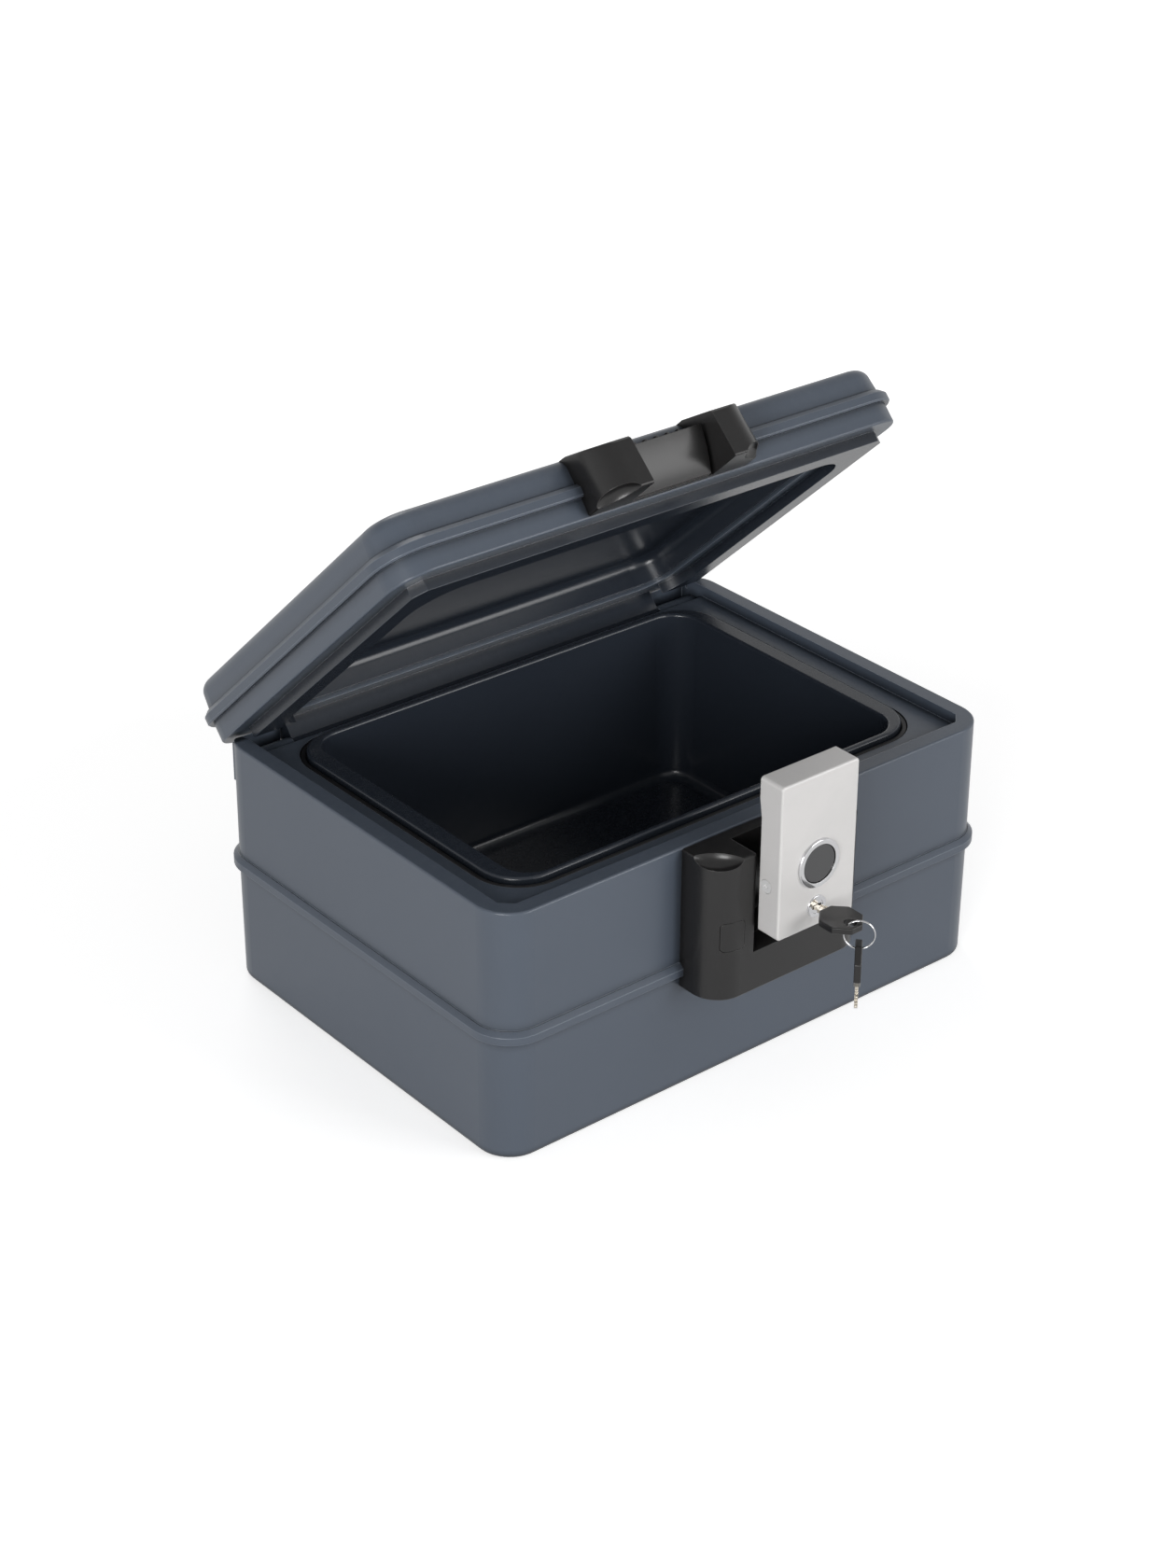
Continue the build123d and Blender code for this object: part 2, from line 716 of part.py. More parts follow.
# Battery cells, laid head to tail
with BuildPart() as battery_cells:
    for index in range(cell_count):
        height = cell_low + index * cell_pitch
        side = 1 - 2 * (index % 2)
        rod_x(cell_y, height, cell_radius, (-cell_half, cell_half))
        rod_x(cell_y, height, cell_nub, both(side, cell_half, cell_half + cell_nub_length))

# Gear motor that draws the bolt
with BuildPart() as gear_motor:
    rod_z(motor_x, motor_middle, motor_radius, (motor_low, motor_low + motor_can))
    block((motor_x - motor_width / 2, motor_x + motor_width / 2),
          (motor_middle - motor_width / 2 + wall / 2, motor_middle + motor_width / 2),
          (motor_low + motor_can, motor_low + motor_can + motor_gear))
    rod_z(motor_x, motor_middle, motor_shaft,
          (motor_low + motor_can + motor_gear, motor_low + motor_can + motor_gear + motor_shaft_length))

# Lock barrel and its nut
with BuildPart() as lock_cylinder:
    rod_y(0, lock_z, lock_face_radius, (lever_front - lock_face_thick, lever_front))
    fillet(lock_cylinder.edges().group_by(Axis.Y)[0], lock_face_thick / 2)
    rod_y(0, lock_z, lock_body_radius, (lever_front, lock_body_back))
    rod_y(0, lock_z, plug_radius + plug_clearance, (lever_front - lock_face_thick, lock_body_back),
          mode=Mode.SUBTRACT)

with BuildPart() as lock_nut:
    with BuildSketch(Plane.XZ.offset(-lever_front - lever_skin)) as nut_face:
        with Locations((0, lock_z)):
            RegularPolygon(lock_nut_flats / 2, 6, major_radius=False)
            Circle(lock_body_radius + lock_thread_gap, mode=Mode.SUBTRACT)
    extrude(amount=-lock_nut_thick)

# Turning plug with its keyway, and the cam on its end
with BuildPart() as lock_plug:
    rod_y(0, lock_z, plug_radius, (lever_front - plug_proud, cam_front))
    block((-blade_width / 2 - keyway_slack, blade_width / 2 + keyway_slack),
          (lever_front - plug_proud, lever_front + blade_inserted + keyway_extra),
          (lock_z - blade_thick / 2 - keyway_slack, lock_z + blade_thick / 2 + keyway_slack), mode=Mode.SUBTRACT)

with BuildPart() as lock_cam:
    rod_y(0, lock_z, cam_radius, (cam_front, cam_back))
    rod_y(-cam_arm, lock_z, cam_pin, (cam_back, bolt_back))

# Sliding bolt with the hook that holds the lid
cam_swell = max(cam_arm * sin(radians(turn)) - bolt_travel * turn / lock_angle for turn in range(lock_angle + 1))
with BuildPart() as latch_bolt:
    block((-bolt_half, bolt_half), (bolt_front, bolt_back), (bolt_foot, bolt_top))
    block((-bolt_half, bolt_half), (bolt_front, bolt_back + bolt_reach + bolt_lip),
          (bolt_top - bolt_hook_thick, bolt_top))
    block((-bolt_half, bolt_half), (bolt_back + bolt_reach, bolt_back + bolt_reach + bolt_lip), (hook_low, bolt_top))
    block((-cam_arm - cam_pin - cam_slack, cam_pin + cam_slack), (bolt_front, bolt_back),
          (lock_z - cam_pin - cam_slack, lock_z + cam_pin + cam_swell + cam_slack), mode=Mode.SUBTRACT)

# Key in the lock: metal blade and black bow
with BuildPart() as key_blade:
    block((-blade_width / 2, blade_width / 2), (lever_front - bow_start - blade_tang, lever_front + blade_inserted),
          (lock_z - blade_thick / 2, lock_z + blade_thick / 2))
    chamfer(key_blade.edges().filter_by(Axis.Z).group_by(Axis.Y)[-1], blade_tip)

with BuildPart() as key_bow:
    with BuildSketch(Plane.XY.offset(lock_z - bow_thick / 2)):
        with BuildLine():
            Polyline((-bow_neck, lever_front - bow_start), (bow_neck, lever_front - bow_start),
                     (bow_half, lever_front - bow_start - bow_shoulder), (bow_half, lever_front - bow_end + bow_cut),
                     (bow_half - bow_cut, lever_front - bow_end), (bow_cut - bow_half, lever_front - bow_end),
                     (-bow_half, lever_front - bow_end + bow_cut),
                     (-bow_half, lever_front - bow_start - bow_shoulder), close=True)
        make_face()
    extrude(amount=bow_thick)
    fillet(key_bow.edges().filter_by(Axis.Z), 2 * bow_edge)
    fillet(key_bow.edges().group_by(Axis.Z)[-1] + key_bow.edges().group_by(Axis.Z)[0], bow_edge)
    rod_z(0, hole_y, bow_hole, (lock_z - bow_thick, lock_z + bow_thick), mode=Mode.SUBTRACT)
    block((-blade_width / 2 - blade_slack, blade_width / 2 + blade_slack),
          (lever_front - bow_start - blade_tang - blade_slack, lever_front - bow_start),
          (lock_z - blade_thick / 2 - blade_slack, lock_z + blade_thick / 2 + blade_slack), mode=Mode.SUBTRACT)

# Key ring through both bows, and the spare key hanging on it
with BuildPart(Plane(origin=(ring_x, ring_y, ring_z), z_dir=(1, 1, 0))) as key_ring:
    Torus(ring_radius, ring_wire)

key_frame = Plane(origin=(0, hole_y, lock_z), x_dir=(1, 0, 0), z_dir=(0, 0, 1))
spare_frame = Plane(origin=(ring_x, ring_y, spare_z), x_dir=(-1, -1, 0), z_dir=(1, -1, 0))
spare_place = spare_frame.location * key_frame.location.inverse()

# Outside of the lid's top cover with its bead, drawn shut
with BuildPart() as lid_form:
    bead(lid_seam)
    chamfer(lid_form.edges().group_by(Axis.Z)[-1], bead_slope)
    chamfer(lid_form.edges().group_by(Axis.Z)[0], bead_edge)
    slab(body_width, body_depth, corner_radius, lid_seam, lid_top, lean=cover_lean)
    fillet(lid_form.edges().group_by(Axis.Z)[-1], cover_round)
    slab(body_width, body_depth, corner_radius, rim_height, lid_seam)

# Inside of the top cover
with BuildPart() as lid_hollow:
    slab(inner_width, inner_depth, inner_radius, lid_seam, lid_top - wall, lean=cover_lean)
    fillet(lid_hollow.edges().group_by(Axis.Z)[-1], cover_round - wall)

with BuildPart() as lid_top_shell:
    add(lid_form.part)
    slab(body_width + trim_margin, body_depth + trim_margin, corner_radius, rim_height, lid_seam,
         mode=Mode.SUBTRACT)
    add(lid_hollow.part, mode=Mode.SUBTRACT)

# Lower lid shell with skirt, tongue, web and hinge barrel
tongue_low = rim_height - tongue_depth
tongue_rear = hinge_y - swing_radius
tongue_width = ledge_width - 2 * tongue_side
tongue_length = ledge_depth - 2 * tongue_side
tongue_inner_x = ring_width + 2 * tongue_ring_gap
tongue_inner_y = ring_depth + 2 * tongue_ring_gap
tongue_inner_radius = ring_corner + tongue_ring_gap
pan_step_x = pocket_width + 2 * lid_step
pan_step_y = pocket_depth + 2 * lid_step


def tongue(inset, low, high, mode=Mode.ADD):
    with BuildSketch(Plane.XY.offset(low)) as outline:
        Rectangle(tongue_width - 2 * inset, tongue_length - 2 * inset)
        chamfer(outline.vertices(), ledge_corner)
        RectangleRounded(tongue_inner_x + 2 * inset, tongue_inner_y + 2 * inset, tongue_inner_radius + inset,
                         mode=Mode.SUBTRACT)
        with Locations((0, tongue_rear - inset + rear / 2)):
            Rectangle(body_width, rear, mode=Mode.SUBTRACT)
    extrude(outline.sketch, amount=high - low, mode=mode)


with BuildPart() as lid_lower_shell:
    slab(body_width, body_depth, corner_radius, rim_height, lid_seam)
    fillet(lid_lower_shell.edges().group_by(Axis.Z)[0], rim_round)
    slab(inner_width, inner_depth, inner_radius, shell_plate, lid_seam, mode=Mode.SUBTRACT)
    seam_lip(lid_seam, cover_lean)
    tongue(0, tongue_low, rim_height)
    tongue(wall, tongue_low + wall, shell_plate, mode=Mode.SUBTRACT)
    slab(pan_step_x, pan_step_y, pocket_radius + lid_step, rim_height, shell_plate, mode=Mode.SUBTRACT)
    lid_barrel = (barrel_gap - barrel_end, barrel_end - barrel_gap)
    rod_x(hinge_y, hinge_z, barrel_radius, lid_barrel)
    block(lid_barrel, (hinge_y - web_thick / 2, hinge_y + web_thick / 2), (hinge_z, shell_plate))
    for side in (-1, 1):
        rod_x(hinge_y, hinge_z, pin_radius + pin_fit,
              both(side, barrel_end - barrel_gap - pin_grip - seat_gap, barrel_end), mode=Mode.SUBTRACT)
        rod_y(side * screw_x, rim_height + catch_screw_z, screw_radius + screw_fit,
              (front, front + wall + lip_wall), mode=Mode.SUBTRACT)

# Inner pan of the lid
with BuildPart() as lid_liner:
    slab(pan_step_x + 2 * pan_flange, pan_step_y + pan_flange, pocket_radius + lid_step + pan_flange / 2,
         shell_plate, shell_plate + tray_wall)
    slab(pocket_width + 2 * tray_wall, pocket_depth + 2 * tray_wall, pocket_radius + tray_wall,
         shell_plate, lid_roof + tray_wall)
    slab(pocket_width, pocket_depth, pocket_radius, shell_plate, lid_roof, mode=Mode.SUBTRACT)
    fillet(lid_liner.edges().filter_by_position(Axis.Z, lid_roof, lid_roof), pan_round)

# Fire filling of the lid
pan_top = shell_plate + tray_wall + seat_gap
with BuildPart() as lid_insulation:
    slab(fill_width, fill_depth, fill_radius, pan_top, lid_top - wall - seat_gap)
    chamfer(lid_insulation.edges().group_by(Axis.Z)[-1], cover_round - wall)
    slab(pocket_width + 2 * (tray_wall + seat_gap), pocket_depth + 2 * (tray_wall + seat_gap),
         pocket_radius + tray_wall + seat_gap, pan_top, lid_roof + tray_wall + seat_gap, mode=Mode.SUBTRACT)
    for side in (-1, 1):
        rod_y(side * screw_x, rim_height + catch_screw_z, screw_head + head_fit,
              (front, front + wall + lip_wall + screw_head_thick + seat_gap), mode=Mode.SUBTRACT)

# Black catch on the front of the lid
catch_deep = front + cover_shrink + cover_round + wall
catch_top = rim_height + catch_front_top
upright = 0.99
with BuildPart() as lid_catch:
    side_shape([(catch_deep, catch_foot), (latch_front, catch_foot), (latch_front, catch_top - catch_edge),
                (latch_front + catch_edge, catch_top), (front, rim_height + catch_back_top),
                (catch_deep, rim_height + catch_back_top)], (-latch_half, latch_half))
    with BuildSketch(Plane.XY.offset(catch_foot)):
        with Locations((0, (latch_front + catch_deep) / 2)):
            Rectangle(2 * latch_half, catch_deep - latch_front)
        fillet(vertices().group_by(Axis.Y)[0], latch_corner)
    extrude(amount=catch_back_top, taper=catch_lean, mode=Mode.INTERSECT)
    fillet([edge for edge in lid_catch.edges() if edge.center().Y < front - nose_back
            and abs(edge.tangent_at(0).Z) < upright], bracket_edge)
    block((-recess_half, recess_half), (latch_front - wall, catch_deep), (catch_foot, lid_top + wall),
          mode=Mode.SUBTRACT)
    nose_y = front - nose_top_out
    nose_foot_y = front - nose_foot_out
    nose_z = rim_height + nose_top
    nose_low = rim_height + nose_foot
    shelf_z = nose_z - nose_shelf_drop
    with BuildSketch(Plane.YZ.offset(-nose_half)):
        with BuildLine():
            Line((nose_foot_y, nose_low), (catch_deep, nose_low))
            Line((catch_deep, nose_low), (catch_deep, shelf_z))
            Line((catch_deep, shelf_z), (nose_y + nose_lip, shelf_z))
            Line((nose_y + nose_lip, shelf_z), (nose_y + nose_lip, nose_z))
            Line((nose_y + nose_lip, nose_z), (nose_y, nose_z))
            ThreePointArc((nose_y, nose_z), ((nose_y + nose_foot_y) / 2 - nose_bulge, (nose_z + nose_low) / 2),
                          (nose_foot_y, nose_low))
        make_face()
    extrude(amount=2 * nose_half)
    block((-recess_half, recess_half), (front - nose_back, catch_deep), (catch_foot, shelf_z))
    for index in range(gusset_count):
        middle = (index - (gusset_count - 1) / 2) * gusset_pitch
        side_shape([(front - gusset_reach, shelf_z), (catch_deep, shelf_z), (catch_deep, shelf_z + gusset_rise),
                    (front, shelf_z + gusset_rise)], (middle - gusset_thick / 2, middle + gusset_thick / 2))
    for side in (-1, 1):
        finger_scoop(side)
        rod_y(side * screw_x, rim_height + catch_screw_z, screw_radius,
              (front - catch_screw_reach, front), mode=Mode.SUBTRACT)
    add(lid_form.part, mode=Mode.SUBTRACT)

# Screws that hold the catch from inside the lid
with BuildPart() as catch_screws:
    for side in (-1, 1):
        rod_y(side * screw_x, rim_height + catch_screw_z, screw_head,
              (front + wall + lip_wall, front + wall + lip_wall + screw_head_thick))
        rod_y(side * screw_x, rim_height + catch_screw_z, screw_radius,
              (front - catch_screw_reach + seat_gap, front + wall + lip_wall))

pieces = {
    "base_lower_shell": base_lower_shell.part,
    "base_upper_shell": base_upper_shell.part,
    "base_liner": base_liner.part,
    "base_insulation": base_insulation.part,
    "base_gasket": base_gasket.part,
    "hinge_pins": hinge_pins.part,
    "latch_bracket": latch_bracket.part,
    "screw_cap_left": screw_cap(-1),
    "screw_cap_right": screw_cap(1),
    "bracket_screws": bracket_screws.part,
    "latch_pin": latch_pin.part,
    "latch_spring": latch_spring.part,
    "latch_cover": latch_cover.part,
    "latch_chassis": latch_chassis.part,
    "latch_side_screws": latch_side_screws.part,
    "sensor_ring": sensor_ring.part,
    "sensor_button": sensor_button.part,
    "circuit_board": circuit_board.part,
    "button_switch": button_switch.part,
    "board_screws": board_screws.part,
    "battery_holder": battery_holder.part,
    "battery_cells": battery_cells.part,
    "gear_motor": gear_motor.part,
    "lock_cylinder": lock_cylinder.part,
    "lock_nut": lock_nut.part,
    "lock_plug": lock_plug.part,
    "lock_cam": lock_cam.part,
    "latch_bolt": latch_bolt.part,
    "key_blade": key_blade.part,
    "key_bow": key_bow.part,
    "key_ring": key_ring.part,
    "spare_key_blade": key_blade.part.moved(spare_place),
    "spare_key_bow": key_bow.part.moved(spare_place),
}

lid_pieces = {
    "lid_top_shell": lid_top_shell.part,
    "lid_lower_shell": lid_lower_shell.part,
    "lid_liner": lid_liner.part,
    "lid_insulation": lid_insulation.part,
    "lid_catch": lid_catch.part,
    "catch_screws": catch_screws.part,
}

for name, piece in lid_pieces.items():
    pieces[name] = piece.rotate(hinge_axis, lid_open)

for name, piece in pieces.items():
    piece.label = name
    export_step(piece, f"parts/{name}.step")
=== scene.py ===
import json
import math

import bmesh
import bpy
from mathutils import Matrix, Quaternion, Vector


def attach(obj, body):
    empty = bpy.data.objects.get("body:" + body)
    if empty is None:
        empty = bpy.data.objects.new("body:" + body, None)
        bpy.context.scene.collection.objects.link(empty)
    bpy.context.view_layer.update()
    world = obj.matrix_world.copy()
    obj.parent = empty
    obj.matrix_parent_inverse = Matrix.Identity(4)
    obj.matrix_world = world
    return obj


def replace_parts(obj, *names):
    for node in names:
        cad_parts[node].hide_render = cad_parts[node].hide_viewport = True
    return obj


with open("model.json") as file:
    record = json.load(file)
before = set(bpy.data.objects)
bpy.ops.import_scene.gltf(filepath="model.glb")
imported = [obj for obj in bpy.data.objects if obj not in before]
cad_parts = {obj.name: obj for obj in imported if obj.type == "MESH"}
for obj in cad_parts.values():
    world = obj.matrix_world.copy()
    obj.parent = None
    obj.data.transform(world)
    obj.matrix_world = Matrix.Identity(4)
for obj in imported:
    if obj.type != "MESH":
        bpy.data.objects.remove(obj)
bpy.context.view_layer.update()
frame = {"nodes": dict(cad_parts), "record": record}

# Fireproof chest with a raised lid and a front latch lever. Lengths are in metres, and in mm where the code
# takes them times mm.
print("frame loaded")
mm = 0.001
bpy.context.scene.view_settings.view_transform = "Standard"

bodyOf = {node: body for body, nodes in frame["record"]["behaviour"]["bodies"].items() for node in nodes}
slotOf = {part["node"]: part["material_slot"] for part in frame["record"]["subparts"]}


# Node tree helpers
def put(tree, kind, inputs=None, **settings):
    node = tree.nodes.new(kind)
    for key, value in settings.items():
        setattr(node, key, value)
    for key, value in (inputs or {}).items():
        if isinstance(value, bpy.types.NodeSocket):
            tree.links.new(value, node.inputs[key])
        else:
            node.inputs[key].default_value = value
    return node


def addValueInputs(tree, inputs):
    for label, value in inputs.items():
        socket = tree.interface.new_socket(name=label, in_out="INPUT", socket_type="NodeSocketFloat")
        socket.default_value = value


def newShaderGroup(name, inputs, outputs):
    group = bpy.data.node_groups.new(name, "ShaderNodeTree")
    addValueInputs(group, inputs)
    for label, kind in outputs.items():
        group.interface.new_socket(name=label, in_out="OUTPUT", socket_type=kind)
    return group, group.nodes.new("NodeGroupInput").outputs, group.nodes.new("NodeGroupOutput").inputs


def remap(tree, value, low, high, toLow=0.0, toHigh=1.0):
    inputs = {"Value": value, "From Min": low, "From Max": high, "To Min": toLow, "To Max": toHigh}
    return put(tree, "ShaderNodeMapRange", inputs).outputs["Result"]


def maths(tree, operation, first, second):
    return put(tree, "ShaderNodeMath", {0: first, 1: second}, operation=operation).outputs[0]


# Shared effects, among them the range of a painted shade in hollows
effects = {
    "pebbleShare": 0.35, "hollowShadeFrom": 0.97, "hollowShadeTo": 0.58,
    "smudgeFrom": 0.46, "smudgeTo": 0.72,
    "scuffStretch": (0.05, 1.0, 14.0), "scuffFrom": 0.66, "scuffTo": 0.72, "scuffPatchScale": 17.0,
    "scuffPatchFrom": 0.56, "scuffPatchTo": 0.68,
    "dustUpFrom": 0.55, "dustUpTo": 1.0, "fleckFrom": 0.4, "fleckTo": 0.75,
}


def makeGrainGroup():
    # Fine moulded or cast grain with a slow change of tone across the piece
    group, given, made = newShaderGroup(
        "surfaceGrain", {"Scale": 1500.0, "Patch Scale": 14.0, "Roundness": 0.5},
        {"Height": "NodeSocketFloat", "Patch": "NodeSocketFloat"})
    place = put(group, "ShaderNodeTexCoord").outputs["Object"]
    fine = put(group, "ShaderNodeTexNoise", {
        "Vector": place, "Scale": given["Scale"], "Detail": 2.0,
        "Roughness": given["Roundness"]}).outputs["Fac"]
    pebble = put(group, "ShaderNodeTexVoronoi", {
        "Vector": place, "Scale": given["Scale"]}, feature="SMOOTH_F1").outputs["Distance"]
    patch = put(group, "ShaderNodeTexNoise", {
        "Vector": place, "Scale": given["Patch Scale"], "Detail": 4.0, "Roughness": 0.55}).outputs["Fac"]
    pebble = maths(group, "MULTIPLY", pebble, effects["pebbleShare"])
    group.links.new(maths(group, "ADD", fine, pebble), made["Height"])
    group.links.new(patch, made["Patch"])
    return group


def makeEdgeGroup():
    # Rounds sharp edges in the light, marks where they are for a painted highlight, and gives a painted shade
    # in hollows
    group, given, made = newShaderGroup(
        "softEdgeHighlightAndShade", {"Radius": 0.0006, "Start": 0.006, "End": 0.10, "Reach": 0.007},
        {"Normal": "NodeSocketVector", "Mask": "NodeSocketFloat", "Hollow Shade": "NodeSocketFloat"})
    rounded = put(group, "ShaderNodeBevel", {"Radius": given["Radius"]}, samples=6).outputs["Normal"]
    face = put(group, "ShaderNodeNewGeometry").outputs["Normal"]
    along = put(group, "ShaderNodeVectorMath", {0: rounded, 1: face}, operation="DOT_PRODUCT")
    turned = maths(group, "SUBTRACT", 1.0, along.outputs["Value"])
    group.links.new(rounded, made["Normal"])
    # Mask of a painted highlight along edges, where the rounded normal turns from the face
    mask = put(group, "ShaderNodeMapRange", {
        "Value": turned, "From Min": given["Start"], "From Max": given["End"]})
    group.links.new(mask.outputs["Result"], made["Mask"])
    # Painted shade, darker where ambient occlusion finds a surface close by
    openness = put(group, "ShaderNodeAmbientOcclusion", {"Distance": given["Reach"]}, samples=4)
    hollowShade = remap(group, openness.outputs["AO"], effects["hollowShadeFrom"], effects["hollowShadeTo"])
    group.links.new(hollowShade, made["Hollow Shade"])
    return group


def makeHandlingGroup():
    # Smudges where hands go, and a few hairline scuffs in one direction
    group, given, made = newShaderGroup(
        "handlingMarks", {"Smudge Scale": 11.0, "Scuff Scale": 60.0, "Turn": 0.5},
        {"Smudge": "NodeSocketFloat", "Scuff": "NodeSocketFloat"})
    place = put(group, "ShaderNodeTexCoord").outputs["Object"]
    cloud = put(group, "ShaderNodeTexNoise", {
        "Vector": place, "Scale": given["Smudge Scale"], "Detail": 6.0, "Roughness": 0.62,
        "Distortion": 0.4})
    smudge = remap(group, cloud.outputs["Fac"], effects["smudgeFrom"], effects["smudgeTo"])
    group.links.new(smudge, made["Smudge"])
    turned = put(group, "ShaderNodeVectorRotate", {
        "Vector": place, "Angle": given["Turn"]}, rotation_type="AXIS_ANGLE").outputs["Vector"]
    stretched = put(group, "ShaderNodeVectorMath", {
        0: turned, 1: effects["scuffStretch"]}, operation="MULTIPLY").outputs["Vector"]
    lines = put(group, "ShaderNodeTexNoise", {
        "Vector": stretched, "Scale": given["Scuff Scale"], "Detail": 5.0, "Roughness": 0.7})
    thin = remap(group, lines.outputs["Fac"], effects["scuffFrom"], effects["scuffTo"])
    handled = put(group, "ShaderNodeTexNoise", {
        "Vector": place, "Scale": effects["scuffPatchScale"], "Detail": 2.0}).outputs["Fac"]
    where = remap(group, handled, effects["scuffPatchFrom"], effects["scuffPatchTo"])
    group.links.new(maths(group, "MULTIPLY", thin, where), made["Scuff"])
    return group


def makeDustGroup():
    # Light dust on what faces up
    group, given, made = newShaderGroup(
        "restingDust", {"Amount": 0.2, "Scale": 180.0}, {"Mask": "NodeSocketFloat"})
    face = put(group, "ShaderNodeNewGeometry").outputs["Normal"]
    up = put(group, "ShaderNodeSeparateXYZ", {"Vector": face}).outputs["Z"]
    place = put(group, "ShaderNodeTexCoord").outputs["Object"]
    fleck = put(group, "ShaderNodeTexNoise", {
        "Vector": place, "Scale": given["Scale"], "Detail": 5.0, "Roughness": 0.75}).outputs["Fac"]
    level = remap(group, up, effects["dustUpFrom"], effects["dustUpTo"])
    lying = maths(group, "MULTIPLY", level, remap(group, fleck, effects["fleckFrom"], effects["fleckTo"]))
    group.links.new(maths(group, "MULTIPLY", lying, given["Amount"]), made["Mask"])
    return group


def makeBrushGroup():
    # Fine lines along one axis, as on turned, drawn or brushed metal
    group, given, made = newShaderGroup(
        "brushLines", {"Scale": 900.0, "Along X": 0.03, "Along Y": 1.0, "Along Z": 1.0},
        {"Height": "NodeSocketFloat"})
    place = put(group, "ShaderNodeTexCoord").outputs["Object"]
    stretch = put(group, "ShaderNodeCombineXYZ", {
        "X": given["Along X"], "Y": given["Along Y"], "Z": given["Along Z"]}).outputs["Vector"]
    lines = put(group, "ShaderNodeVectorMath", {0: place, 1: stretch}, operation="MULTIPLY")
    noise = put(group, "ShaderNodeTexNoise", {
        "Vector": lines.outputs["Vector"], "Scale": given["Scale"], "Detail": 4.0, "Roughness": 0.6})
    group.links.new(noise.outputs["Fac"], made["Height"])
    return group


grainGroup = makeGrainGroup()
edgeGroup = makeEdgeGroup()
handlingGroup = makeHandlingGroup()
dustGroup = makeDustGroup()
brushGroup = makeBrushGroup()
print("shared effects built")


def useGroup(tree, group, **values):
    node = tree.nodes.new("ShaderNodeGroup")
    node.node_tree = group
    for key, value in values.items():
        node.inputs[key.replace("_", " ")].default_value = value
    return node.outputs


# Where the Mix node keeps its sockets for colours
mixSockets = {"factor": 0, "first": 6, "second": 7, "result": 2}


def blendColours(tree, amount, first, second):
    inputs = {mixSockets["factor"]: amount, mixSockets["first"]: first, mixSockets["second"]: second}
    mix = put(tree, "ShaderNodeMix", inputs, data_type="RGBA", clamp_factor=True)
    return mix.outputs[mixSockets["result"]]


def paint(red, green, blue):
    return (red, green, blue, 1.0)


def grey(value):
    return paint(value, value, value)


def newMaterial(name):
    material = bpy.data.materials.new(name)
    material.use_nodes = True
    tree = material.node_tree
    return material, tree, tree.nodes["Principled BSDF"].inputs


# Moulded plastics
def makePlastic(name, look):
    material, tree, shader = newMaterial(name)
    grain = useGroup(tree, grainGroup, Scale=look["grainScale"], Patch_Scale=look["patchScale"])
    edge = useGroup(tree, edgeGroup, Radius=look["edgeRadius"])
    marks = useGroup(tree, handlingGroup, Scuff_Scale=look["scuffScale"], Turn=look["turn"])
    dust = useGroup(tree, dustGroup, Amount=look["dust"])
    tone = blendColours(tree, grain["Patch"], look["colour"], look["otherTone"])
    # Painted shade in hollows, a painted highlight along edges, and real scuffs in the same pale tone
    for mask, share, over in ((edge["Hollow Shade"], "hollowShadeShare", "hollowShadeTone"),
                              (edge["Mask"], "edgeHighlightShare", "edgeHighlightAndScuffTone"), (marks["Scuff"], "scuff", "edgeHighlightAndScuffTone")):
        tone = blendColours(tree, maths(tree, "MULTIPLY", mask, look[share]), tone, look[over])
    tone = blendColours(tree, dust["Mask"], tone, look["dustTone"])
    tree.links.new(tone, shader["Base Color"])
    rough = maths(tree, "ADD", look["roughness"], maths(tree, "MULTIPLY", marks["Smudge"], look["smudge"]))
    rough = maths(tree, "ADD", rough, maths(tree, "MULTIPLY", marks["Scuff"], look["scuff"]))
    tree.links.new(rough, shader["Roughness"])
    bump = put(tree, "ShaderNodeBump", {"Height": grain["Height"], "Normal": edge["Normal"],
                                        "Strength": look["grain"], "Distance": look["grainDepth"]})
    tree.links.new(bump.outputs["Normal"], shader["Normal"])
    shader["Specular IOR Level"].default_value = look["specular"]
    shader["Coat Weight"].default_value = look["coat"]
    shader["Coat Roughness"].default_value = look["coatRoughness"]
    return material


# The edge tone is a painted highlight along edges and also the colour of scuffs; the hollow tone is a painted
# shade
shellLook = {
    "colour": paint(0.078, 0.096, 0.126), "otherTone": paint(0.088, 0.107, 0.138),
    "edgeHighlightAndScuffTone": paint(0.30, 0.34, 0.40), "dustTone": paint(0.32, 0.33, 0.34),
    "hollowShadeTone": paint(0.010, 0.013, 0.018), "roughness": 0.31, "smudge": 0.05, "grain": 0.22,
    "grainDepth": 0.06 * mm, "grainScale": 1900.0,
    "edgeRadius": 0.7 * mm, "edgeHighlightShare": 0.7, "scuff": 0.08, "dust": 0.07, "turn": 0.5, "hollowShadeShare": 0.85,
    "patchScale": 9.0, "scuffScale": 60.0, "coat": 0.0, "coatRoughness": 0.2, "specular": 0.5,
}
linerLook = dict(shellLook, colour=paint(0.020, 0.025, 0.035), otherTone=paint(0.025, 0.031, 0.042),
                 edgeHighlightAndScuffTone=paint(0.09, 0.105, 0.13), roughness=0.24, smudge=0.02, edgeHighlightShare=0.5, scuff=0.01,
                 dust=0.04, turn=0.9)
blackLook = dict(shellLook, colour=paint(0.0105, 0.0100, 0.0102), otherTone=paint(0.0140, 0.0133, 0.0134),
                 edgeHighlightAndScuffTone=paint(0.075, 0.073, 0.073), dustTone=paint(0.16, 0.15, 0.145),
                 hollowShadeTone=paint(0.002, 0.002, 0.002), roughness=0.29, smudge=0.04, grain=0.25,
                 grainDepth=0.05 * mm, grainScale=2600.0, edgeRadius=0.5 * mm, edgeHighlightShare=0.45, scuff=0.1,
                 dust=0.06, turn=0.2, hollowShadeShare=0.8)
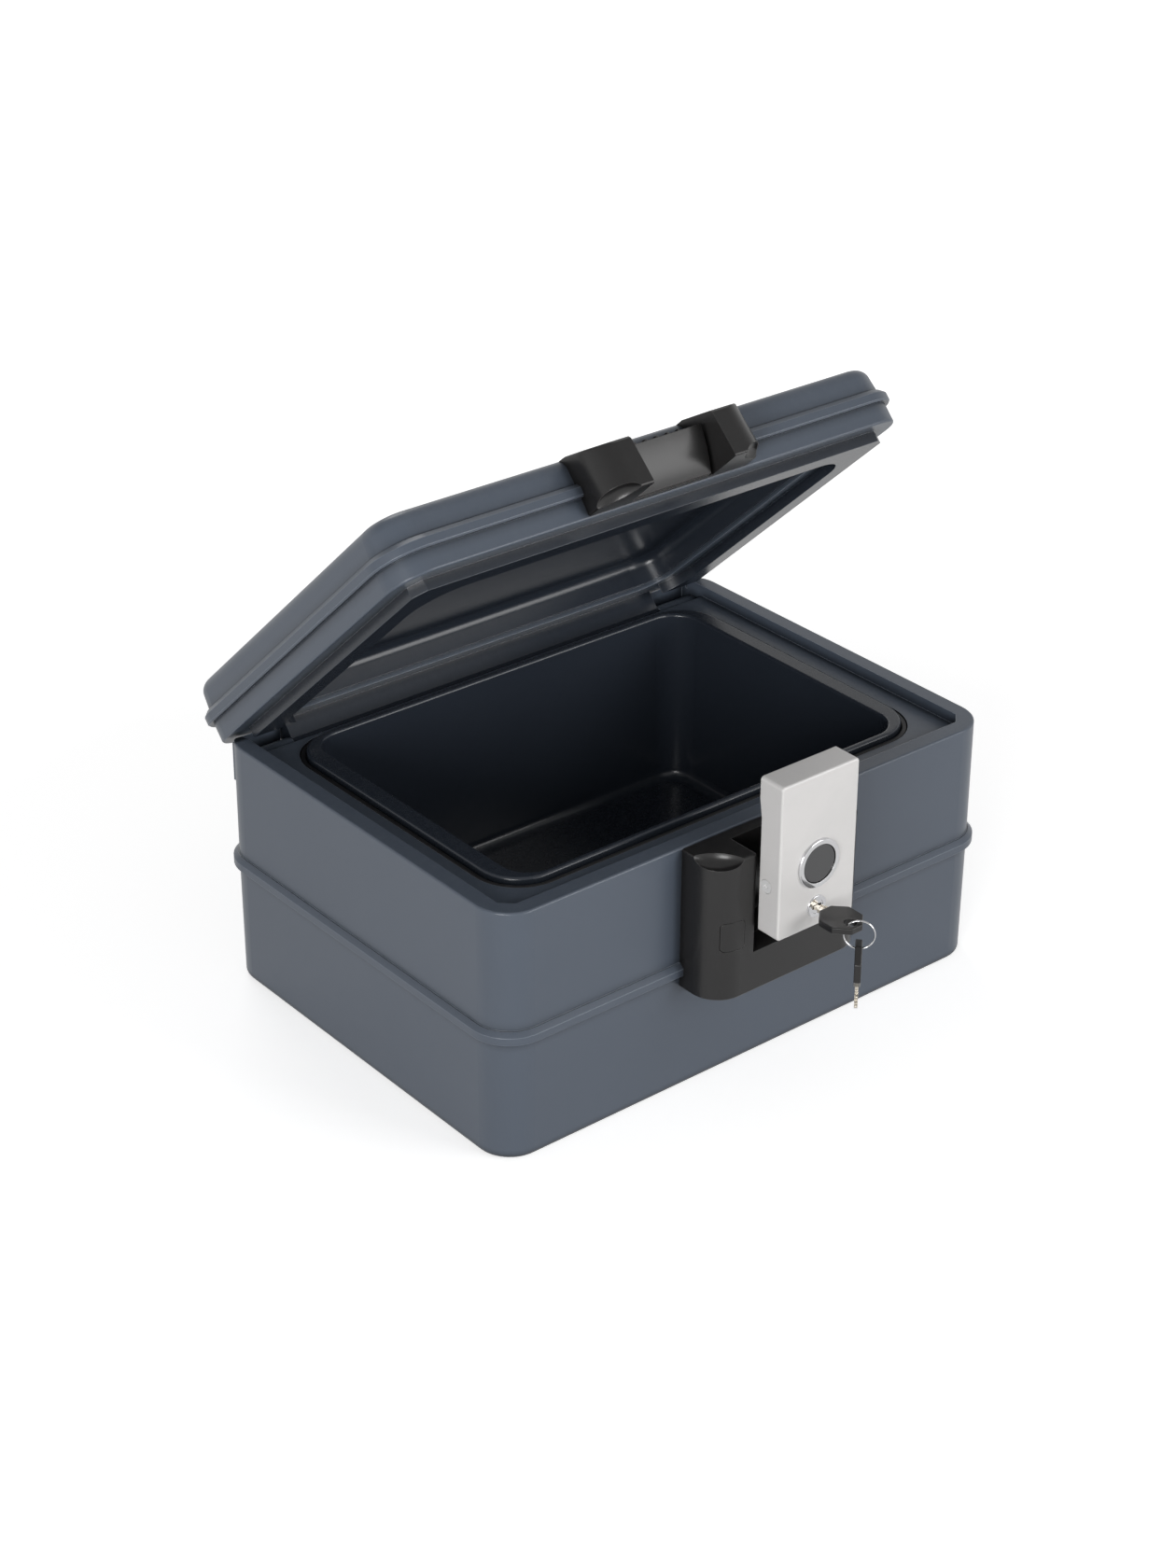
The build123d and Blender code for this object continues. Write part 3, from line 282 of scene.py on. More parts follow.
bowLook = dict(blackLook, roughness=0.3, grainScale=3200.0, edgeRadius=0.3 * mm, scuff=0.6, scuffScale=220.0)
holderLook = dict(blackLook, roughness=0.42, grainScale=2200.0, edgeRadius=0.25 * mm, dust=0.02)
switchLook = dict(blackLook, colour=paint(0.03, 0.03, 0.032), roughness=0.4, edgeRadius=0.15 * mm)
buttonLook = dict(blackLook, colour=paint(0.012, 0.0125, 0.0145), otherTone=paint(0.016, 0.0165, 0.019),
                  roughness=0.13, smudge=0.16, grain=0.04, edgeRadius=0.3 * mm, coat=0.8, coatRoughness=0.05,
                  dust=0.03, scuff=0.15, edgeHighlightShare=0.2)
boardLook = dict(blackLook, colour=paint(0.012, 0.10, 0.035), otherTone=paint(0.014, 0.12, 0.045),
                 edgeHighlightAndScuffTone=paint(0.35, 0.33, 0.2), roughness=0.3, edgeRadius=0.15 * mm, grainScale=1200.0,
                 dust=0.02)
sleeveLook = dict(blackLook, colour=paint(0.05, 0.052, 0.06), otherTone=paint(0.06, 0.062, 0.07),
                  edgeHighlightAndScuffTone=paint(0.5, 0.5, 0.5), roughness=0.2, edgeRadius=0.3 * mm, grain=0.03, dust=0.02)


# Span of a noise value over which a roughness changes
patchSpan = (0.3, 0.7)


# Cast mineral filling, coarse and pitted
def makeFilling(name, look):
    material, tree, shader = newMaterial(name)
    grain = useGroup(tree, grainGroup, Scale=look["grainScale"], Patch_Scale=look["patchScale"],
                     Roundness=look["roundness"])
    place = put(tree, "ShaderNodeTexCoord").outputs["Object"]
    pits = put(tree, "ShaderNodeTexVoronoi", {"Vector": place, "Scale": look["pitScale"]})
    pit = remap(tree, pits.outputs["Distance"], 0.0, look["pitSize"])
    tone = blendColours(tree, grain["Patch"], look["colour"], look["otherTone"])
    tree.links.new(tone, shader["Base Color"])
    tree.links.new(remap(tree, grain["Patch"], *patchSpan, *look["roughness"]), shader["Roughness"])
    coarse = put(tree, "ShaderNodeBump", {
        "Height": pit, "Strength": look["pitting"], "Distance": look["pitDepth"]})
    bump = put(tree, "ShaderNodeBump", {"Height": grain["Height"], "Normal": coarse.outputs["Normal"],
                                        "Strength": look["grain"], "Distance": look["grainDepth"]})
    tree.links.new(bump.outputs["Normal"], shader["Normal"])
    return material


fillingLook = {
    "colour": paint(0.62, 0.60, 0.55), "otherTone": paint(0.54, 0.52, 0.48), "grainScale": 700.0,
    "patchScale": 30.0, "roundness": 0.7, "roughness": (0.82, 0.95), "grain": 0.5, "grainDepth": 0.2 * mm,
    "pitScale": 160.0, "pitSize": 0.28, "pitting": 0.6, "pitDepth": 0.5 * mm,
}


# Soft black rubber with a faint bloom
def makeRubber(name, look):
    material, tree, shader = newMaterial(name)
    grain = useGroup(tree, grainGroup, Scale=look["grainScale"], Patch_Scale=look["patchScale"])
    edge = useGroup(tree, edgeGroup, Radius=look["edgeRadius"])
    dust = useGroup(tree, dustGroup, Amount=look["bloom"], Scale=look["bloomScale"])
    tone = blendColours(tree, grain["Patch"], look["colour"], look["otherTone"])
    tree.links.new(blendColours(tree, dust["Mask"], tone, look["bloomTone"]), shader["Base Color"])
    tree.links.new(remap(tree, grain["Patch"], *patchSpan, *look["roughness"]), shader["Roughness"])
    bump = put(tree, "ShaderNodeBump", {"Height": grain["Height"], "Normal": edge["Normal"],
                                        "Strength": look["grain"], "Distance": look["grainDepth"]})
    tree.links.new(bump.outputs["Normal"], shader["Normal"])
    return material


gasketLook = {
    "colour": paint(0.006, 0.006, 0.007), "otherTone": paint(0.009, 0.009, 0.010), "grainScale": 1400.0,
    "patchScale": 25.0, "roughness": (0.5, 0.62), "grain": 0.3, "grainDepth": 0.08 * mm,
    "edgeRadius": 0.5 * mm, "bloom": 0.12, "bloomScale": 320.0, "bloomTone": paint(0.09, 0.09, 0.09),
}


# Metals
def makeMetal(name, look):
    material, tree, shader = newMaterial(name)
    alongX, alongY, alongZ = look["along"]
    lines = useGroup(tree, brushGroup, Scale=look["lineScale"], Along_X=alongX, Along_Y=alongY,
                     Along_Z=alongZ)
    edge = useGroup(tree, edgeGroup, Radius=look["edgeRadius"])
    marks = useGroup(tree, handlingGroup, Smudge_Scale=look["smudgeScale"], Scuff_Scale=look["scuffScale"],
                     Turn=look["turn"])
    tone = blendColours(tree, marks["Smudge"], look["colour"], look["otherTone"])
    # Painted highlight along edges
    edgeHighlight = maths(tree, "MULTIPLY", edge["Mask"], look["edgeHighlightShare"])
    tree.links.new(blendColours(tree, edgeHighlight, tone, look["edgeHighlightAndScuffTone"]), shader["Base Color"])
    rough = maths(tree, "ADD", look["roughness"], maths(tree, "MULTIPLY", marks["Smudge"], look["smudge"]))
    rough = maths(tree, "ADD", rough, maths(tree, "MULTIPLY", marks["Scuff"], look["scuff"]))
    spread = remap(tree, lines["Height"], *patchSpan, -look["lineRough"], look["lineRough"])
    rough = maths(tree, "ADD", rough, spread)
    tree.links.new(rough, shader["Roughness"])
    bump = put(tree, "ShaderNodeBump", {"Height": lines["Height"], "Normal": edge["Normal"],
                                        "Strength": look["lineStrength"], "Distance": look["lineDepth"]})
    tree.links.new(bump.outputs["Normal"], shader["Normal"])
    shader["Metallic"].default_value = look["metallic"]
    shader["Coat Weight"].default_value = look["coat"]
    shader["Coat Roughness"].default_value = look["coatRoughness"]
    return material


# The metals' edge tone is a painted highlight along edges
chromeLook = {
    "colour": paint(0.66, 0.66, 0.67), "otherTone": paint(0.60, 0.60, 0.62),
    "edgeHighlightAndScuffTone": paint(0.85, 0.85, 0.85), "roughness": 0.07, "smudge": 0.07, "smudgeScale": 70.0,
    "scuff": 0.12, "scuffScale": 400.0, "turn": 0.4,
    "lineScale": 2500.0, "along": (1.0, 0.2, 1.0), "lineRough": 0.015, "lineStrength": 0.04,
    "lineDepth": 0.03 * mm, "edgeRadius": 0.25 * mm, "edgeHighlightShare": 0.3, "metallic": 1.0, "coat": 0.0,
    "coatRoughness": 0.1,
}
silverLook = dict(chromeLook, colour=paint(0.74, 0.725, 0.715), otherTone=paint(0.70, 0.69, 0.68),
                  edgeHighlightAndScuffTone=paint(0.85, 0.85, 0.84), roughness=0.42, smudge=0.06, smudgeScale=16.0,
                  scuff=0.08, scuffScale=90.0, lineScale=5200.0, along=(1.0, 1.0, 1.0), lineRough=0.04,
                  lineStrength=0.12, edgeRadius=0.8 * mm, edgeHighlightShare=0.75, metallic=0.12, coat=0.15,
                  coatRoughness=0.3)
steelLook = dict(chromeLook, colour=paint(0.52, 0.52, 0.53), otherTone=paint(0.44, 0.44, 0.46),
                 roughness=0.26, smudge=0.12, lineScale=1800.0, along=(0.05, 1.0, 1.0), lineRough=0.05,
                 lineStrength=0.2)
nickelLook = dict(chromeLook, colour=paint(0.66, 0.61, 0.52), otherTone=paint(0.55, 0.50, 0.43),
                  roughness=0.2, smudge=0.14, smudgeScale=160.0, scuffScale=500.0, lineScale=2600.0,
                  along=(1.0, 0.04, 1.0), lineRough=0.06, lineStrength=0.25)
canLook = dict(chromeLook, colour=paint(0.5, 0.5, 0.51), otherTone=paint(0.45, 0.45, 0.46), roughness=0.3,
               along=(1.0, 1.0, 0.05), lineScale=1500.0, lineRough=0.05, lineStrength=0.2)
sideScrewLook = dict(silverLook, colour=paint(0.84, 0.84, 0.84), otherTone=paint(0.80, 0.80, 0.80),
                     metallic=0.2, roughness=0.3, edgeRadius=0.25 * mm)

materials = {
    "shell_grey": makePlastic("shellPlastic", shellLook),
    "liner_dark": makePlastic("linerPlastic", linerLook),
    "fire_filling": makeFilling("castFilling", fillingLook),
    "gasket_rubber": makeRubber("gasketRubber", gasketLook),
    "pin_steel": makeMetal("platedSteel", steelLook),
    "latch_black": makePlastic("latchPlastic", blackLook),
    "lever_silver": makeMetal("silverPaint", silverLook),
    "bright_chrome": makeMetal("polishedChrome", chromeLook),
    "button_black": makePlastic("buttonGloss", buttonLook),
    "board_green": makePlastic("boardMask", boardLook),
    "switch_black": makePlastic("switchPlastic", switchLook),
    "cell_sleeve": makePlastic("cellSleeve", sleeveLook),
    "motor_metal": makeMetal("motorCan", canLook),
    "key_nickel": makeMetal("keyNickel", nickelLook),
    "bow_black": makePlastic("bowPlastic", bowLook),
    "holder_black": makePlastic("holderPlastic", holderLook),
    "sideScrew": makeMetal("sideScrewMetal", sideScrewLook),
}
for node, obj in frame["nodes"].items():
    obj.data.materials.clear()
    obj.data.materials.append(materials["holder_black" if node == "battery_holder" else slotOf[node]])

# The lid's place in mm and degrees, and the part of its inner side that is of the darker plastic
lid = {"open": 43.0, "hingeY": 135.5, "hingeZ": 157.0, "innerHalfWidth": 192.7, "innerFront": -137.7,
       "innerBelow": 177.9}


def swung(y, z, degrees):
    # A point of the lid, in mm, turned about the hinge, upward for a positive angle
    turn = math.radians(degrees)
    out, up = y - lid["hingeY"], z - lid["hingeZ"]
    return (lid["hingeY"] + out * math.cos(turn) + up * math.sin(turn),
            lid["hingeZ"] - out * math.sin(turn) + up * math.cos(turn))


lidShell = frame["nodes"]["lid_lower_shell"].data
lidShell.materials.append(materials["liner_dark"])
for face in lidShell.polygons:
    shutY, shutZ = swung(face.center.y / mm, face.center.z / mm, -lid["open"])
    across = abs(face.center.x) / mm
    if across < lid["innerHalfWidth"] and shutY > lid["innerFront"] and shutZ < lid["innerBelow"]:
        face.material_index = 1
print("materials on the frame")


# Pieces made here
def keepPiece(name, mesh, node, material=None):
    mesh.materials.clear()
    mesh.materials.append(material or materials[slotOf[node]])
    obj = bpy.data.objects.new(name, mesh)
    bpy.context.scene.collection.objects.link(obj)
    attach(obj, bodyOf[node])
    return obj


def meshFrom(build, name):
    mesh = bpy.data.meshes.new(name)
    build.normal_update()
    build.to_mesh(mesh)
    build.free()
    return mesh


def newShapeTree(name, inputs):
    tree = bpy.data.node_groups.new(name, "GeometryNodeTree")
    tree.interface.new_socket(name="Geometry", in_out="INPUT", socket_type="NodeSocketGeometry")
    addValueInputs(tree, inputs)
    tree.interface.new_socket(name="Material", in_out="INPUT", socket_type="NodeSocketMaterial")
    tree.interface.new_socket(name="Geometry", in_out="OUTPUT", socket_type="NodeSocketGeometry")
    return tree, tree.nodes.new("NodeGroupInput").outputs, tree.nodes.new("NodeGroupOutput").inputs


def finishShape(tree, shape, given, made):
    solid = put(tree, "GeometryNodeRealizeInstances", {"Geometry": shape}).outputs[0]
    done = put(tree, "GeometryNodeSetMaterial", {"Geometry": solid, "Material": given["Material"]})
    tree.links.new(done.outputs[0], made["Geometry"])


# Sides of what is round here, for one circle or turn each
facets = {"head": 56, "shank": 32, "threadTurn": 24, "threadFlank": 4, "ringTurn": 96, "ringWire": 16}


# Screws with a cross recess, one tree for all four groups
def makeScrewTree():
    tree, given, made = newShapeTree("crossScrews", {
        "Head Radius": 0.004, "Head Height": 0.002, "Shank Radius": 0.002, "Shank Length": 0.02,
        "Recess Length": 0.004, "Recess Width": 0.0008, "Recess Depth": 0.001, "Thread Pitch": 0.0012,
        "Thread Depth": 0.0003})

    def lowered(geometry, depth):
        place = put(tree, "ShaderNodeCombineXYZ", {"Z": maths(tree, "MULTIPLY", depth, -1.0)}).outputs[0]
        return put(tree, "GeometryNodeTransform", {"Geometry": geometry, "Translation": place}).outputs[0]

    half = maths(tree, "MULTIPLY", given["Head Height"], 0.5)
    head = put(tree, "GeometryNodeMeshCylinder", {
        "Vertices": facets["head"], "Radius": given["Head Radius"], "Depth": given["Head Height"]})
    head = lowered(head.outputs["Mesh"], half)
    deep = maths(tree, "MULTIPLY", given["Recess Depth"], 2.0)
    cuts = []
    for across, along in (("Recess Length", "Recess Width"), ("Recess Width", "Recess Length")):
        size = put(tree, "ShaderNodeCombineXYZ", {"X": given[across], "Y": given[along], "Z": deep}).outputs[0]
        cuts.append(put(tree, "GeometryNodeMeshCube", {"Size": size}).outputs["Mesh"])
    recess = put(tree, "GeometryNodeMeshBoolean", operation="UNION", solver="EXACT")
    for cut in cuts:
        tree.links.new(cut, recess.inputs["Mesh 2"])
    cross = put(tree, "GeometryNodeMeshBoolean", {"Mesh 1": head}, operation="DIFFERENCE", solver="EXACT")
    tree.links.new(recess.outputs["Mesh"], cross.inputs["Mesh 2"])

    coreRadius = maths(tree, "SUBTRACT", given["Shank Radius"], given["Thread Depth"])
    core = put(tree, "GeometryNodeMeshCylinder", {
        "Vertices": facets["shank"], "Radius": coreRadius, "Depth": given["Shank Length"]}).outputs["Mesh"]
    middle = maths(tree, "ADD", given["Head Height"], maths(tree, "MULTIPLY", given["Shank Length"], 0.5))
    core = lowered(core, middle)
    bareEnds = maths(tree, "MULTIPLY", given["Thread Pitch"], 2.0)
    threadLength = maths(tree, "SUBTRACT", given["Shank Length"], bareEnds)
    turns = maths(tree, "DIVIDE", threadLength, given["Thread Pitch"])
    coil = put(tree, "GeometryNodeCurveSpiral", {
        "Resolution": facets["threadTurn"], "Rotations": turns, "Start Radius": coreRadius,
        "End Radius": coreRadius, "Height": threadLength}).outputs["Curve"]
    flank = put(tree, "GeometryNodeCurvePrimitiveCircle", {
        "Resolution": facets["threadFlank"], "Radius": given["Thread Depth"]})
    thread = put(tree, "GeometryNodeCurveToMesh", {"Curve": coil, "Profile Curve": flank.outputs["Curve"],
                                                   "Fill Caps": True}).outputs["Mesh"]
    above = maths(tree, "ADD", given["Head Height"], given["Thread Pitch"])
    thread = lowered(thread, maths(tree, "ADD", threadLength, above))
    whole = put(tree, "GeometryNodeJoinGeometry")
    for part in (cross.outputs["Mesh"], core, thread):
        tree.links.new(part, whole.inputs["Geometry"])
    facing = put(tree, "GeometryNodeInputNamedAttribute", {"Name": "facing"}, data_type="FLOAT_VECTOR")
    turn = put(tree, "FunctionNodeAlignRotationToVector", {
        "Vector": facing.outputs[0]}, axis="Z").outputs["Rotation"]
    spread = put(tree, "GeometryNodeInstanceOnPoints", {
        "Points": given["Geometry"], "Instance": whole.outputs[0], "Rotation": turn}).outputs["Instances"]
    finishShape(tree, spread, given, made)
    return tree


def grown(name, tree, start, values):
    # Runs a Geometry Nodes tree on the starting mesh and gives back a plain mesh
    carrier = bpy.data.objects.new(name, start)
    bpy.context.scene.collection.objects.link(carrier)
    modifier = carrier.modifiers.new("grow", "NODES")
    modifier.node_group = tree
    sockets = {item.name: item.identifier for item in tree.interface.items_tree if item.in_out == "INPUT"}
    for label, value in values.items():
        modifier[sockets[label]] = value
    result = bpy.data.meshes.new_from_object(carrier.evaluated_get(bpy.context.evaluated_depsgraph_get()))
    carrier.modifiers.remove(modifier)
    bpy.data.objects.remove(carrier)
    return result


shutCatchHead = {"y": -143.4, "z": 188.0}
catchHead = swung(shutCatchHead["y"], shutCatchHead["z"], lid["open"])
openTurn = math.radians(lid["open"])
screwGroups = {
    "latch_side_screws": {
        "heads": [(-32.0, -192.3, 157.0, -1, 0, 0), (32.0, -192.3, 157.0, 1, 0, 0)], "material": "sideScrew",
        "Head Radius": 4.55, "Head Height": 0.9, "Shank Radius": 2.0, "Shank Length": 8.3,
        "Recess Length": 3.4, "Recess Width": 1.2, "Recess Depth": 0.8, "Thread Pitch": 0.8,
        "Thread Depth": 0.25},
    "board_screws": {
        "heads": [(x, -194.4, z, 0, -1, 0) for x in (-18.0, 18.0) for z in (155.0, 185.0)],
        "material": "pin_steel",
        "Head Radius": 2.0, "Head Height": 1.0, "Shank Radius": 1.0, "Shank Length": 6.9,
        "Recess Length": 2.4, "Recess Width": 0.6, "Recess Depth": 0.6, "Thread Pitch": 0.5,
        "Thread Depth": 0.18},
    "bracket_screws": {
        "heads": [(x, -165.4, 123.0, 0, -1, 0) for x in (-49.0, 49.0)], "material": "pin_steel",
        "Head Radius": 4.0, "Head Height": 2.4, "Shank Radius": 2.0, "Shank Length": 20.7,
        "Recess Length": 4.4, "Recess Width": 1.0, "Recess Depth": 1.5, "Thread Pitch": 1.4,
        "Thread Depth": 0.35},
    "catch_screws": {
        "heads": [(x, catchHead[0], catchHead[1], 0, math.cos(openTurn), -math.sin(openTurn))
                  for x in (-49.0, 49.0)], "material": "pin_steel",
        "Head Radius": 4.0, "Head Height": 2.4, "Shank Radius": 2.0, "Shank Length": 17.9,
        "Recess Length": 4.4, "Recess Width": 1.0, "Recess Depth": 1.5, "Thread Pitch": 1.4,
        "Thread Depth": 0.35},
}
screwTree = makeScrewTree()
for node, look in screwGroups.items():
    points = bpy.data.meshes.new(node + "Points")
    points.from_pydata([[value * mm for value in head[:3]] for head in look["heads"]], [], [])
    points.attributes.new("facing", "FLOAT_VECTOR", "POINT").data.foreach_set(
        "vector", [value for head in look["heads"] for value in head[3:]])
    values = {label: value * mm for label, value in look.items() if label not in ("heads", "material")}
    values["Material"] = materials[look["material"]]
    mesh = grown(node + "Maker", screwTree, points, values)
    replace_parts(keepPiece(node + "_made", mesh, node, materials[look["material"]]), node)
print("screws made")


# Split key ring, two turns of round wire
def makeRingTree():
    tree, given, made = newShapeTree("splitRing", {
        "Ring Radius": 0.0097, "Turns": 2.0, "Pitch": 0.0008, "Wire Radius": 0.0004})
    height = maths(tree, "MULTIPLY", given["Turns"], given["Pitch"])
    coil = put(tree, "GeometryNodeCurveSpiral", {
        "Resolution": facets["ringTurn"], "Rotations": given["Turns"], "Start Radius": given["Ring Radius"],
        "End Radius": given["Ring Radius"], "Height": height}).outputs["Curve"]
    wire = put(tree, "GeometryNodeCurvePrimitiveCircle", {
        "Resolution": facets["ringWire"], "Radius": given["Wire Radius"]})
    body = put(tree, "GeometryNodeCurveToMesh", {"Curve": coil, "Profile Curve": wire.outputs["Curve"],
                                                 "Fill Caps": True}).outputs["Mesh"]
    drop = put(tree, "ShaderNodeCombineXYZ", {"Z": maths(tree, "MULTIPLY", height, -0.5)}).outputs[0]
    body = put(tree, "GeometryNodeTransform", {"Geometry": body, "Translation": drop}).outputs[0]
    finishShape(tree, body, given, made)
    return tree


keyRing = {"middle": (4.243, -239.243, 131.0), "facing": (1, 1, 0), "Ring Radius": 9.7, "Pitch": 0.78,
           "Wire Radius": 0.38, "turns": 2.0}
ringValues = {label: keyRing[label] * mm for label in ("Ring Radius", "Pitch", "Wire Radius")}
ringValues.update({"Turns": keyRing["turns"], "Material": materials["bright_chrome"]})
ringMesh = grown("keyRingMaker", makeRingTree(), bpy.data.meshes.new("keyRingStart"), ringValues)
ringPlace = Vector(keyRing["facing"]).to_track_quat("Z", "Y").to_matrix().to_4x4()
ringMesh.transform(Matrix.Translation(Vector(keyRing["middle"]) * mm) @ ringPlace)
for face in ringMesh.polygons:
    face.use_smooth = True
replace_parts(keepPiece("key_ring_made", ringMesh, "key_ring"), "key_ring")
print("key ring made")


# Key blades with cuts along both edges and a milled groove on each side
keyBlade = {
    "length": 24.0, "width": 7.0, "thickness": 2.2, "rows": 120, "grooveFrom": 7.0, "grooveInner": 0.5,
    "grooveOuter": 2.0, "grooveDepth": 0.55, "tipLength": 2.4, "tipWidth": 2.2,
    "upperCuts": ((10.0, 0.9), (12.4, 1.6), (14.8, 0.7), (17.2, 1.4), (19.6, 1.0)),
    "lowerCuts": ((10.8, 1.2), (13.2, 0.6), (15.6, 1.5), (18.0, 0.8)), "cutSlope": 1.1, "cutFlat": 0.35,
    "grooveMargin": 0.15, "weld": 0.001,
    "lockedPlace": (0, -218.5, 137.0), "lockedHole": (0, -235.0, 137.0),
    "spareHole": (4.243, -239.243, 118.5),
}


def bladeHalf(look, along, cuts):
    full = look["width"] / 2
    half = full
    for place, depth in cuts:
        half = min(half, full - depth + max(0.0, abs(along - place) - look["cutFlat"]) * look["cutSlope"])
    toTip = look["length"] - along
    if toTip < look["tipLength"]:
        half = min(half, full - look["tipWidth"] * (1 - toTip / look["tipLength"]))
    return half


def makeBlade(look, name):
    build = bmesh.new()
    up = look["thickness"] / 2
    rows = []
    for index in range(look["rows"] + 1):
        along = look["length"] * index / look["rows"]
        right = bladeHalf(look, along, look["upperCuts"])
        left = bladeHalf(look, along, look["lowerCuts"])
        cut = look["grooveDepth"] if along > look["grooveFrom"] else 0.0
        inner = min(look["grooveInner"], right)
        outer = min(look["grooveOuter"], min(left, right) - look["grooveMargin"])
        outline = [(-left, -up), (-outer, -up), (-outer, -up + cut), (-inner, -up + cut), (-inner, -up),
                   (right, -up), (right, up), (outer, up), (outer, up - cut), (inner, up - cut), (inner, up),
                   (-left, up)]
        rows.append([build.verts.new((x * mm, along * mm, z * mm)) for x, z in outline])
    for first, second in zip(rows, rows[1:]):
        for index in range(len(first)):
            after = (index + 1) % len(first)
            build.faces.new((first[index], first[after], second[after], second[index]))
    build.faces.new(rows[0][::-1])
    build.faces.new(rows[-1])
    bmesh.ops.remove_doubles(build, verts=build.verts, dist=look["weld"] * mm)
    bmesh.ops.recalc_face_normals(build, faces=build.faces)
    return meshFrom(build, name)


lockedBlade = Matrix.Translation(Vector(keyBlade["lockedPlace"]) * mm)
lockedHole, spareHole = Vector(keyBlade["lockedHole"]) * mm, Vector(keyBlade["spareHole"]) * mm
# The spare key hangs with its blade straight down, turned 45 degrees about the upright
hangTurn = Matrix(((-1, 0, 1), (-1, 0, -1), (0, -math.sqrt(2), 0))) * (1 / math.sqrt(2))
spareMove = Matrix.Translation(spareHole) @ hangTurn.to_4x4() @ Matrix.Translation(-lockedHole)
spareBlade = spareMove @ lockedBlade
for node, place in (("key_blade", lockedBlade), ("spare_key_blade", spareBlade)):
    mesh = makeBlade(keyBlade, node + "Mesh")
    mesh.transform(place)
    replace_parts(keepPiece(node + "_made", mesh, node), node)
print("key blades made")


# Studio
studio = {
    "floorSize": 30.0, "floorTone": 0.86, "bounceTone": 0.5, "floorGlow": 0.56, "mirrorGlow": 0.3,
    "shadowRadius": 0.5, "whiteRadius": 1.6,
    "worldLight": 0.5, "ceiling": 0.5, "horizon": 0.12, "overhead": 0.55,
    "lamps": (
        {"name": "keyLamp", "place": (-2.05, -1.4, 0.75), "aim": (0, 0, 0.15), "size": 1.0, "watts": 34},
        {"name": "fillLamp", "place": (1.2, -2.3, 1.0), "aim": (0, 0, 0.15), "size": 1.4, "watts": 26},
        {"name": "rimLamp", "place": (0.6, 2.0, 1.9), "aim": (0, 0, 0.2), "size": 1.2, "watts": 12},
    ),
}


def seenRays(tree):
    # Rays from the camera, and those with the ones that metal and glass send on
    ray = put(tree, "ShaderNodeLightPath").outputs
    seen = maths(tree, "MAXIMUM", ray["Is Camera Ray"], ray["Is Glossy Ray"])
    return ray["Is Camera Ray"], maths(tree, "MAXIMUM", seen, ray["Is Transmission Ray"])


def makeFloor(look):
    half = look["floorSize"] / 2
    mesh = bpy.data.meshes.new("floor")
    corners = [(-half, -half, 0), (half, -half, 0), (half, half, 0), (-half, half, 0)]
    mesh.from_pydata(corners, [], [(0, 1, 2, 3)])
    floor = bpy.data.objects.new("floor", mesh)
    bpy.context.scene.collection.objects.link(floor)
    material = bpy.data.materials.new("paleFloor")
    material.use_nodes = True
    tree = material.node_tree
    tree.nodes.clear()
    camera, seen = seenRays(tree)
    tone = blendColours(tree, seen, grey(look["bounceTone"]), grey(look["floorTone"]))
    matt = put(tree, "ShaderNodeBsdfDiffuse", {"Color": tone}).outputs[0]
    mirrored = maths(tree, "MULTIPLY", seen, look["mirrorGlow"])
    # Whiter away from the chest, so that its shadow stays and the far floor meets the white backdrop
    place = put(tree, "ShaderNodeTexCoord").outputs["Object"]
    away = put(tree, "ShaderNodeVectorMath", {0: place}, operation="LENGTH").outputs["Value"]
    fade = remap(tree, away, look["shadowRadius"], look["whiteRadius"], look["floorGlow"], 1.0)
    watched = maths(tree, "MULTIPLY", camera, fade)
    brighter = maths(tree, "MAXIMUM", mirrored, watched)
    glow = put(tree, "ShaderNodeEmission", {"Strength": brighter}).outputs[0]
    both = put(tree, "ShaderNodeAddShader", {0: matt, 1: glow}).outputs[0]
    put(tree, "ShaderNodeOutputMaterial", {"Surface": both})
    mesh.materials.append(material)


